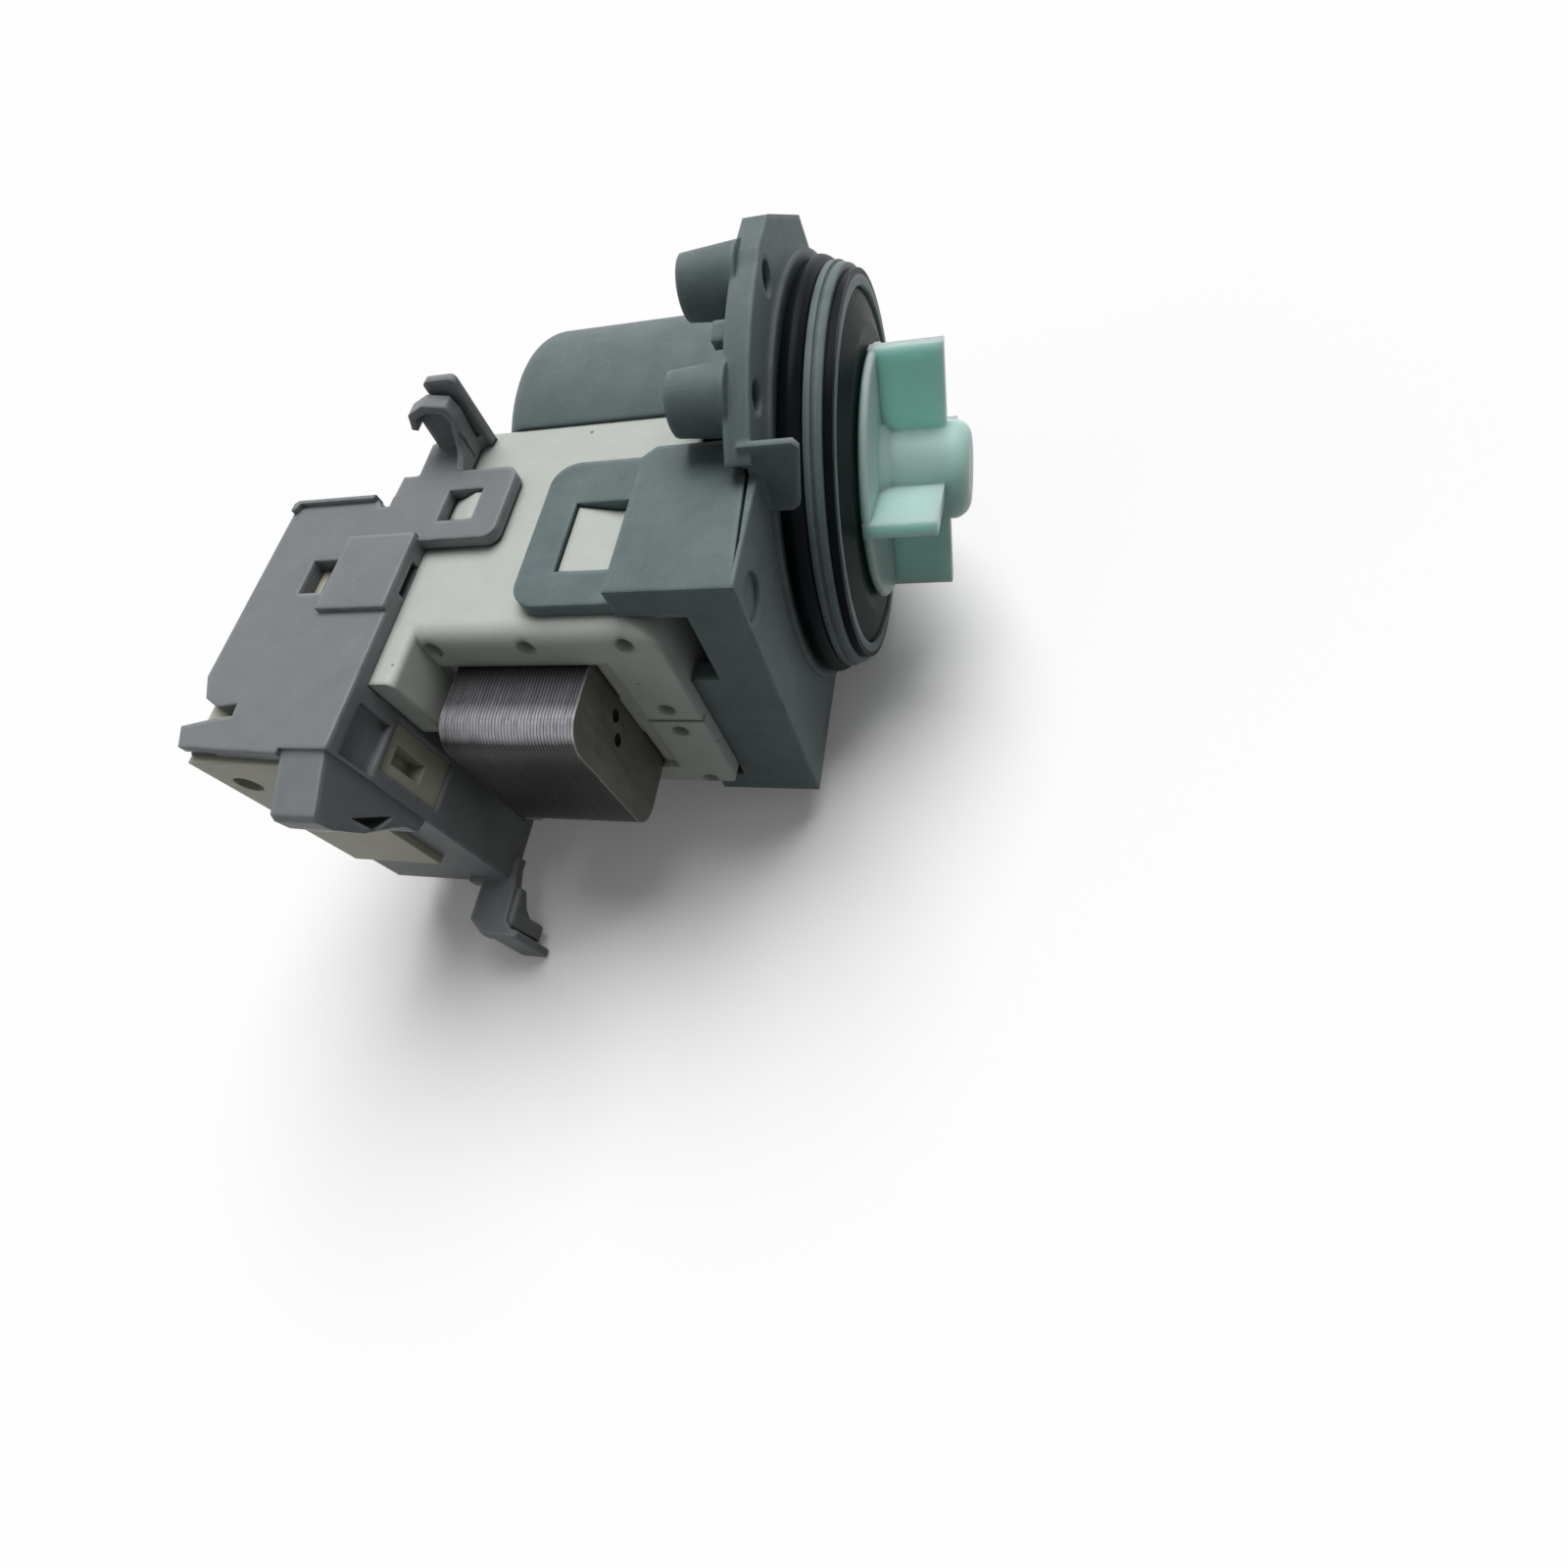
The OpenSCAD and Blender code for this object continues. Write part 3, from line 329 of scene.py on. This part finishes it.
def settled_dust_group():
    """Pale dust on faces that look up, thicker in clouds."""
    inputs = {"Dust Scale": 300.0, "Amount": 0.2}
    wiring, given = new_group("settled_dust", inputs, ("Dust",))
    place = wiring.node("ShaderNodeTexCoord").outputs
    facing = wiring.node("ShaderNodeSeparateXYZ", {"Vector": place["Normal"]}).outputs
    up = wiring.spread(facing["Z"], 0.3, 0.95)
    cloud = wiring.noise(place["Object"], given["Dust Scale"], detail=6.0, roughness=0.7)
    film = wiring.times(up, wiring.spread(cloud, 0.4, 0.75))
    wiring.node("NodeGroupOutput", {"Dust": wiring.times(film, given["Amount"], clamp=True)})
    return wiring.tree


def soft_edges_group():
    """The round of moulded edges, a mask of edges rubbed lighter with a painted highlight, and a
    mask of dips for painted shade.
    """
    inputs = {"Radius": 0.0003, "Patch Scale": 160.0, "Dip Width": 0.0018}
    wiring, given = new_group("soft_edges", inputs, ("Normal", "Rubbed And Highlit", "Dips"))
    bevel = wiring.node("ShaderNodeBevel", {"Radius": given["Radius"]}, samples=EDGE_SAMPLES)
    rounded = bevel.outputs["Normal"]
    flat = wiring.node("ShaderNodeNewGeometry").outputs["Normal"]
    turned = wiring.node("ShaderNodeVectorMath", {0: rounded, 1: flat}, operation="DOT_PRODUCT")
    on_edge = wiring.spread(turned.outputs["Value"], 0.985, 0.86)
    cloud = wiring.noise(wiring.object_point(), given["Patch Scale"], detail=4.0, roughness=0.6)
    patches = wiring.spread(cloud, 0.26, 0.5)
    # Ambient occlusion marks the dips where shade is painted
    sky = wiring.node("ShaderNodeAmbientOcclusion", {"Distance": given["Dip Width"]},
                      samples=EDGE_SAMPLES)
    dips = wiring.spread(sky.outputs["AO"], 0.82, 0.3)
    # Edges outside the dips, which are rubbed lighter and also take a painted highlight
    outer_edge = wiring.times(on_edge, wiring.math("SUBTRACT", 1.0, dips))
    wiring.node("NodeGroupOutput", {"Normal": rounded, "Dips": dips,
                                    "Rubbed And Highlit": wiring.times(outer_edge, patches)})
    return wiring.tree


MOULDED_SKIN = moulded_skin_group()
HANDLING_SCUFFS = handling_scuffs_group()
SETTLED_DUST = settled_dust_group()
SOFT_EDGES = soft_edges_group()

# Finishes, by the material slots of the record

FINISHES = {}

# How every moulding's colour changes in its clouds and grain, on its specks and scuffs, on its
# edges, rubbed lighter with a painted highlight, and in dips with painted shade; how much grain and
# shade shows
CLOUD_LIGHT, GRAIN_DARK, GRAIN_SHARE = 1.2, 1.6, 0.35
SPECK_TONE = 0.25
SCUFF_FACTOR, SCUFF_LIFT = 0.8, 0.1
# Lighter edges: rubbing wear and a painted highlight
RUB_HIGHLIGHT_FACTOR, RUB_HIGHLIGHT_LIFT = 1.6, 0.06
# Painted shade in dips
PAINTED_SHADE_TONE, PAINTED_SHADE_SHARE = 0.28, 0.6
DUST = (0.55, 0.54, 0.5)
# Its skin: how far the roughness goes up and down, and the clouds' share of the grain's height
ROUGHNESS_SWING = 0.07
CLOUD_HEIGHT = 0.6
GRAIN_DEPTH = 0.04

# Clean rubber, and where it has bloomed
RUBBER, RUBBER_BLOOM = (0.005, 0.007, 0.009), (0.010, 0.013, 0.016)

# The yoke's steel from sheet to sheet, its burr lines and end face, a painted highlight on its
# corner and rubbed end rim, painted shade near the coils, lower down and in dimples, and how much
# of each shows
SHEET_DARK, SHEET_LIGHT = (0.085, 0.082, 0.093), (0.135, 0.132, 0.145)
BURR_LINE = (0.06, 0.059, 0.064)
# Painted shade on the top face near the coils
SHADED_SHEET = (0.042, 0.042, 0.045)
# Painted highlight on the corner
PAINTED_CORNER_HIGHLIGHT = (0.36, 0.355, 0.38)
# Painted shade on the outer face below the corner, deeper towards the middle
PAINTED_SIDE_SHADE, PAINTED_MIDDLE_SHADE = (0.028, 0.0275, 0.024), (0.010, 0.010, 0.009)
# End face tone, and its rim rubbed bright with a painted highlight
END_FACE, BURNISHED_AND_HIGHLIT = (0.13, 0.135, 0.115), (0.45, 0.44, 0.42)
# Painted shade in the dimples and dips
DIMPLE_PAINTED_SHADE = (0.006, 0.006, 0.005)
# Shares of the painted corner highlight, the rubbed and highlit rim, and the painted shade
CORNER_HIGHLIGHT_SHARE, BURNISHED_HIGHLIT_SHARE, SIDE_SHADE_SHARE, MIDDLE_SHADE_SHARE = 0.85, 0.6, 0.9, 0.6
# Share of the painted shade in dips
DIP_SHADE_SHARE = 0.85
DIMPLE_ROUGHER = 0.35
# Where each starts and is full, in millimetres: from the yoke's middle up or down, out from
# the coils, or both together at the corner
# Where the painted shade starts below the corner and where it deepens towards the middle
SIDE_SHADE_HEIGHT = (13.1, 12.1)
SIDE_SHADE_WAVE = 1.5
MIDDLE_SHADE_HEIGHT = (9, 5)
# Reach of the painted shade out from the coils
SHADE_REACH = (1, 9)
# Span of the painted corner highlight
CORNER_HIGHLIGHT_SPAN = (22, 25)
CORNER_SLOPE = 1.1
DIMPLE_RIM = (DIMPLE_RADIUS + 0.15, DIMPLE_RADIUS - 0.1)
END_DEPTH = SHEET_GAP + 0.02

# Painted shade in the grooves between the wire's turns, the copper on top of them, and its lacquer
# where it darkened
PAINTED_GROOVE_SHADE, WIRE_CROWN = (0.24, 0.07, 0.02), (0.72, 0.30, 0.13)
LACQUER_STAIN = (0.42, 0.14, 0.05)


def new_finish(name):
    """Adds an empty finish: gives its wiring and its Principled shader."""
    material = bpy.data.materials.new(name)
    material.use_nodes = True
    FINISHES[name] = material
    return Wiring(material.node_tree), material.node_tree.nodes["Principled BSDF"]


def moulded_plastic(name, colour, roughness, clouds, grain, grain_scale=1800.0, specks=0.0,
                    speck_size=0.1, scuffs=0.25, dust=0.0, edge=0.3, rub_and_highlight=0.35, gloss=0.2,
                    **plain):
    """A moulded plastic: soft edges rubbed lighter with a painted highlight, painted shade in dips,
    grained skin, cloudy tone, specks, scuffs and dust.
    """
    wiring, shader = new_finish(name)
    skin = wiring.effect(MOULDED_SKIN, {"Grain Scale": grain_scale, "Speck Size": speck_size})
    wear = wiring.effect(HANDLING_SCUFFS, {"Amount": scuffs})
    film = wiring.effect(SETTLED_DUST, {"Amount": dust})
    edges = wiring.effect(SOFT_EDGES, {"Radius": edge * MM})
    light = rgb(colour, 1 + CLOUD_LIGHT * clouds)
    tone = wiring.mix(skin["Cloud"], rgb(colour, 1 - clouds), light)
    grained = wiring.times(skin["Grain"], GRAIN_SHARE)
    tone = wiring.mix(grained, tone, rgb(colour, 1 - GRAIN_DARK * clouds))
    tone = wiring.mix(wiring.times(skin["Specks"], specks), tone, rgb(colour, SPECK_TONE))
    tone = wiring.mix(wear["Scuffs"], tone, rgb(colour, SCUFF_FACTOR, SCUFF_LIFT))
    # Edges rubbed lighter, with a painted highlight on them as well
    tone = wiring.mix(wiring.times(edges["Rubbed And Highlit"], rub_and_highlight), tone, rgb(colour, RUB_HIGHLIGHT_FACTOR, RUB_HIGHLIGHT_LIFT))
    # Painted shade in dips and recesses
    tone = wiring.mix(wiring.times(edges["Dips"], PAINTED_SHADE_SHARE), tone, rgb(colour, PAINTED_SHADE_TONE))
    tone = wiring.mix(film["Dust"], tone, rgb(DUST))
    matt = wiring.spread(skin["Grain"], 0.0, 1.0, roughness - ROUGHNESS_SWING,
                         roughness + ROUGHNESS_SWING)
    height = wiring.math("ADD", skin["Grain"], wiring.times(skin["Cloud"], CLOUD_HEIGHT))
    normal = wiring.bump(height, grain, GRAIN_DEPTH, edges["Normal"])
    wiring.feed(shader, {"Base Color": tone, "Roughness": matt, "Normal": normal,
                         "Specular IOR Level": gloss, **plain})


def black_rubber():
    """Smooth black rubber with a faint bloom."""
    wiring, shader = new_finish("black_rubber")
    point = wiring.object_point()
    bloom = wiring.spread(wiring.noise(point, scale=70.0, detail=4.0), 0.4, 0.72)
    fine = wiring.noise(point, scale=1500.0)
    colour = wiring.mix(bloom, rgb(RUBBER), rgb(RUBBER_BLOOM))
    matt = wiring.spread(bloom, 0.0, 1.0, 0.3, 0.46)
    normal = wiring.bump(fine, strength=0.12, depth=0.03)
    wiring.feed(shader, {"Base Color": colour, "Roughness": matt, "Normal": normal,
                         "Specular IOR Level": 0.035})


def lamination_steel():
    """Punched sheets, each with its own tone: burr lines, a painted highlight on the corner and
    painted shade below it.
    """
    wiring, shader = new_finish("lamination_steel")
    point = wiring.object_point()
    apart = wiring.node("ShaderNodeSeparateXYZ", {"Vector": point}).outputs
    edges = wiring.effect(SOFT_EDGES)

    def between(value, limits, *targets):
        """Maps a length between two limits in millimetres."""
        return wiring.spread(value, limits[0] * MM, limits[1] * MM, *targets)

    def beyond(x):
        """One in front of a place along the stack, else nought."""
        return wiring.math("GREATER_THAN", apart["X"], x * MM)

    from_rear = wiring.math("SUBTRACT", apart["X"], STACK_REAR * MM)
    number = wiring.math("FLOOR", wiring.math("DIVIDE", from_rear, SHEET_PITCH * MM))
    own_tone = wiring.node("ShaderNodeTexWhiteNoise", {"W": number}, noise_dimensions="1D")
    burr = wiring.noise(wiring.drawn(point, (1.0, 0.3, 0.1)), scale=1500.0, detail=3.0,
                        roughness=0.6)
    cloud = wiring.noise(point, scale=110.0, detail=4.0, roughness=0.6)
    height = wiring.math("ABSOLUTE", apart["Z"])
    # Painted shade below the corner, with a wavy edge
    wave = wiring.times(wiring.math("SUBTRACT", cloud, 0.5), SIDE_SHADE_WAVE * MM)
    side_shade = between(wiring.math("ADD", height, wave), SIDE_SHADE_HEIGHT)
    outward = wiring.math("SUBTRACT", YOKE_IN * MM, apart["Y"])
    corner = wiring.math("ADD", height, wiring.times(outward, CORNER_SLOPE))
    streaks = wiring.spread(burr, 0.3, 0.6, 0.5, 1.0)
    corner_highlight = wiring.times(between(corner, CORNER_HIGHLIGHT_SPAN), streaks)

    tone = wiring.mix(own_tone.outputs["Value"], rgb(SHEET_DARK), rgb(SHEET_LIGHT))
    tone = wiring.mix(wiring.spread(burr, 0.4, 0.75), tone, rgb(BURR_LINE))
    # Painted shade near the coils, lighter outward
    tone = wiring.mix(between(outward, SHADE_REACH), rgb(SHADED_SHEET), tone)
    # Painted highlight where the top face turns into the corner
    tone = wiring.mix(wiring.times(corner_highlight, CORNER_HIGHLIGHT_SHARE), tone, rgb(PAINTED_CORNER_HIGHLIGHT))
    # Painted shade below the corner
    tone = wiring.mix(wiring.times(side_shade, SIDE_SHADE_SHARE), tone, rgb(PAINTED_SIDE_SHADE))
    # Deeper painted shade towards the yoke's middle
    tone = wiring.mix(between(height, MIDDLE_SHADE_HEIGHT, 0.0, MIDDLE_SHADE_SHARE), tone, rgb(PAINTED_MIDDLE_SHADE))
    tone = wiring.mix(beyond(STACK_FRONT - END_DEPTH), tone, rgb(END_FACE))
    # The end rim rubbed bright, with a painted highlight
    rim = wiring.times(edges["Rubbed And Highlit"], beyond(STACK_FRONT - SHEET_PITCH))
    tone = wiring.mix(wiring.times(rim, BURNISHED_HIGHLIT_SHARE), tone, rgb(BURNISHED_AND_HIGHLIT))

    across = wiring.node("ShaderNodeCombineXYZ", {"Y": apart["Y"], "Z": apart["Z"]}).outputs[0]
    away = [wiring.node("ShaderNodeVectorMath", {0: across, 1: (0, y * MM, z * MM)},
                        operation="DISTANCE").outputs["Value"] for y, z in DIMPLES]
    dimple = between(wiring.math("MINIMUM", *away), DIMPLE_RIM)
    # Painted shade in dips and in the dimples
    dark = wiring.math("MAXIMUM", wiring.times(edges["Dips"], DIP_SHADE_SHARE), dimple)
    tone = wiring.mix(dark, tone, rgb(DIMPLE_PAINTED_SHADE))
    rough = wiring.spread(burr, 0.3, 0.8, 0.34, 0.55)
    matt = wiring.math("ADD", rough, wiring.times(dimple, DIMPLE_ROUGHER))
    normal = wiring.bump(burr, strength=0.25, depth=0.03)
    wiring.feed(shader, {"Base Color": tone, "Roughness": matt, "Normal": normal,
                         "Metallic": 0.85, "Specular IOR Level": 0.3})


def bare_metal(name, colour, dark, roughness, stretch, scale):
    """A turned, drawn or tinned metal with fine lines along one direction."""
    wiring, shader = new_finish(name)
    point = wiring.object_point()
    lines = wiring.noise(wiring.drawn(point, stretch), scale, detail=3.0, roughness=0.65)
    stain = wiring.spread(wiring.noise(point, scale=150.0, detail=4.0), 0.45, 0.75)
    tone = wiring.mix(wiring.spread(lines, 0.3, 0.7), rgb(colour), rgb(dark))
    stained = wiring.mix(wiring.times(stain, 0.3), tone, rgb(dark, 0.7))
    matt = wiring.spread(lines, 0.3, 0.7, roughness, roughness + 0.16)
    normal = wiring.bump(lines, strength=0.15, depth=0.02)
    wiring.feed(shader, {"Base Color": stained, "Roughness": matt, "Normal": normal,
                         "Metallic": 1.0})


def enamelled_copper():
    """Turns of lacquered copper wire, side by side along the coil, with painted shade in the
    grooves between them.
    """
    wiring, shader = new_finish("enamelled_copper")
    point = wiring.object_point()
    inputs = {"Vector": point, "Scale": 950.0, "Distortion": 0.4, "Detail": 1.0}
    turns = wiring.node("ShaderNodeTexWave", inputs, bands_direction="Y").outputs["Fac"]
    # Painted shade in the grooves between turns
    painted_turns = wiring.mix(turns, rgb(PAINTED_GROOVE_SHADE), rgb(WIRE_CROWN))
    stain = wiring.spread(wiring.noise(point, scale=90.0, detail=3.0), 0.4, 0.7)
    colour = wiring.mix(wiring.times(stain, 0.4), painted_turns, rgb(LACQUER_STAIN))
    matt = wiring.spread(turns, 0.0, 1.0, 0.42, 0.22)
    normal = wiring.bump(turns, strength=0.8, depth=0.1)
    wiring.feed(shader, {"Base Color": colour, "Roughness": matt, "Normal": normal,
                         "Metallic": 0.9, "Coat Weight": 0.5, "Coat Roughness": 0.12})


def sintered(name, colour, roughness):
    """Ground sintered stuff with grinding marks and open pores, with painted shade in the pores."""
    wiring, shader = new_finish(name)
    point = wiring.object_point()
    marks = wiring.noise(wiring.drawn(point, (1.0, 0.15, 0.15)), scale=1900.0)
    cells = wiring.node("ShaderNodeTexVoronoi", {"Vector": point, "Scale": 2400.0})
    pores = wiring.math("LESS_THAN", cells.outputs["Distance"], 0.16)
    tone = wiring.mix(marks, rgb(colour, 0.75), rgb(colour, 1.35))
    # Painted shade in the open pores
    tone_with_painted_pores = wiring.mix(wiring.times(pores, 0.7), tone, rgb(colour, 0.3))
    matt = wiring.spread(marks, 0.3, 0.7, roughness - 0.08, roughness + 0.08)
    normal = wiring.bump(marks, strength=0.2, depth=0.03)
    wiring.feed(shader, {"Base Color": tone_with_painted_pores, "Roughness": matt, "Normal": normal})


moulded_plastic("housing_grey_green", (0.120, 0.158, 0.162), 0.5, clouds=0.13, grain=0.4,
                scuffs=0.4, dust=0.05, specks=0.5, speck_size=0.06, edge=1.2, rub_and_highlight=0.9)
black_rubber()
moulded_plastic("black_plastic", (0.008, 0.014, 0.014), 0.4, clouds=0.2, grain=0.12,
                scuffs=0.04, rub_and_highlight=0.1, edge=0.4, gloss=0.03)
moulded_plastic("coil_grey", (0.545, 0.585, 0.54), 0.46, clouds=0.045, grain=0.25,
                specks=0.75, speck_size=0.11, scuffs=0.08, edge=1.1, rub_and_highlight=0.1)
moulded_plastic("bobbin_plastic", (0.60, 0.56, 0.44), 0.48, clouds=0.05, grain=0.2)
enamelled_copper()
lamination_steel()
moulded_plastic("terminal_grey", (0.20, 0.215, 0.225), 0.47, clouds=0.07, grain=0.25,
                grain_scale=1200.0, specks=0.35, speck_size=0.07, scuffs=0.35, dust=0.03,
                edge=1.1, rub_and_highlight=0.9)
moulded_plastic("insert_ivory", (0.50, 0.50, 0.40), 0.45, clouds=0.06, grain=0.15,
                specks=0.3, speck_size=0.07, scuffs=0.12)
bare_metal("tinned_brass", (0.70, 0.68, 0.60), (0.50, 0.46, 0.36), 0.26,
           stretch=(0.05, 1.0, 1.0), scale=1600.0)
bare_metal("shaft_steel", (0.62, 0.63, 0.65), (0.42, 0.43, 0.45), 0.16,
           stretch=(1.0, 0.08, 0.08), scale=2200.0)
sintered("ferrite", (0.045, 0.046, 0.052), 0.5)
sintered("carbon_bush", (0.03, 0.03, 0.033), 0.42)
moulded_plastic("impeller_mint", (0.475, 0.72, 0.65), 0.38, clouds=0.03, grain=0.08,
                grain_scale=900.0, scuffs=0.06, edge=0.6,
                **{"Subsurface Weight": 1.0, "Subsurface Radius": (0.65, 1.0, 0.92),
                   "Subsurface Scale": 0.007})

# The yoke's stacked sheets, and the finishes of the CAD's own pieces


def of_kind(parts, kind):
    """The vertices or edges among the parts that an operator made."""
    return [part for part in parts if isinstance(part, kind)]


def new_piece(name, mesh, body, slot, *replaced):
    """Makes a finished mesh a piece that rides on a body and stands for the replaced nodes."""
    piece = mesh_object(name, mesh)
    piece.data.materials.append(FINISHES[slot])
    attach(piece, body)
    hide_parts(*replaced)


def sheet_face(mesh, x, inset):
    """A sheet's outline as one flat face, with its two outer corners rounded."""
    half = YOKE_HALF_HEIGHT - inset
    outer = YOKE_OUT + inset
    corners = ((YOKE_IN, half), (YOKE_IN, -half), (outer, -half), (outer, half))
    verts = [mesh.verts.new(millimetres((x, y, z))) for y, z in corners]
    mesh.faces.new(verts)
    bmesh.ops.bevel(mesh, geom=verts[2:], offset=(YOKE_CORNER - inset) * MM, offset_type="OFFSET",
                    segments=CORNER_SEGMENTS, profile=0.5, affect="VERTICES", material=-1)


def extruded_sheet(x, thickness, inset):
    """One sheet as a closed solid of its own thickness."""
    mesh = bmesh.new()
    sheet_face(mesh, x, inset)
    drawn = bmesh.ops.extrude_face_region(mesh, geom=mesh.faces[:])["geom"]
    bmesh.ops.translate(mesh, verts=of_kind(drawn, bmesh.types.BMVert), vec=(thickness * MM, 0, 0))
    bmesh.ops.holes_fill(mesh, edges=mesh.edges, sides=0)
    bmesh.ops.recalc_face_normals(mesh, faces=mesh.faces)
    return mesh


def add_burr(mesh):
    """Breaks the sharp outline of a sheet, apart from its long side against the coils."""
    outline = [edge for edge in mesh.edges
               if edge.calc_length() < BURR_SIDE * MM and edge.calc_face_angle(0) > SHARP_ANGLE]
    bmesh.ops.bevel(mesh, geom=outline, offset=BURR * MM, offset_type="OFFSET", segments=1,
                    profile=0.5, affect="EDGES", material=-1)


def add_dimples(mesh, x):
    """Opens the end face and sinks the two round stacking dimples into it."""
    end = max(mesh.faces, key=lambda face: face.calc_center_median().x)
    rim = list(end.edges)
    bmesh.ops.delete(mesh, geom=[end], context="FACES_ONLY")
    circles = []
    for y, z in DIMPLES:
        upright = Matrix.Rotation(math.pi / 2, 4, "Y")
        place = Matrix.Translation(millimetres((x, y, z))) @ upright
        ring = bmesh.ops.create_circle(mesh, cap_ends=False, radius=DIMPLE_RADIUS * MM,
                                       segments=DIMPLE_SEGMENTS, matrix=place)["verts"]
        circles.append(list(dict.fromkeys(edge for vert in ring for edge in vert.link_edges)))
    bmesh.ops.triangle_fill(mesh, use_beauty=True, use_dissolve=False, edges=rim + sum(circles, []))
    for circle in circles:
        sunk = bmesh.ops.extrude_edge_only(mesh, edges=circle)["geom"]
        verts = of_kind(sunk, bmesh.types.BMVert)
        bmesh.ops.translate(mesh, verts=verts, vec=(-DIMPLE_DEPTH * MM, 0, 0))
        middle = sum((vert.co for vert in verts), Vector()) / len(verts)
        bmesh.ops.scale(mesh, verts=verts, vec=(1, DIMPLE_FLOOR, DIMPLE_FLOOR),
                        space=Matrix.Translation(-middle))
        bmesh.ops.contextual_create(mesh, geom=of_kind(sunk, bmesh.types.BMEdge))
    bmesh.ops.recalc_face_normals(mesh, faces=mesh.faces)


def yoke_laminations():
    """The near end of the core as its stacked sheets, with a fine gap between each two."""
    length = STACK_FRONT - STACK_REAR
    count = round(length / SHEET_PITCH)
    thickness = SHEET_PITCH - SHEET_GAP
    stack = extruded_sheet(STACK_REAR + CORE_SETBACK, length - CORE_SHORTER, GAP_DEPTH)
    for i in range(count):
        rear = STACK_REAR + i * SHEET_PITCH
        mesh = extruded_sheet(rear, thickness, 0.0)
        add_burr(mesh)
        if i == count - 1:
            add_dimples(mesh, rear + thickness)
        data = bpy.data.meshes.new("sheet")
        mesh.to_mesh(data)
        mesh.free()
        stack.from_mesh(data)
        bpy.data.meshes.remove(data)
    new_piece("yoke_laminations", stack, "pump_body", "lamination_steel", "yoke_stack")


def finish_cad_pieces():
    """Gives each carried-over CAD piece the finish of its slot in the record."""
    for row in frame["record"]["subparts"]:
        node = NODES[row["node"]]
        node.data.materials.clear()
        node.data.materials.append(FINISHES[row["material_slot"]])


finish_cad_pieces()
yoke_laminations()
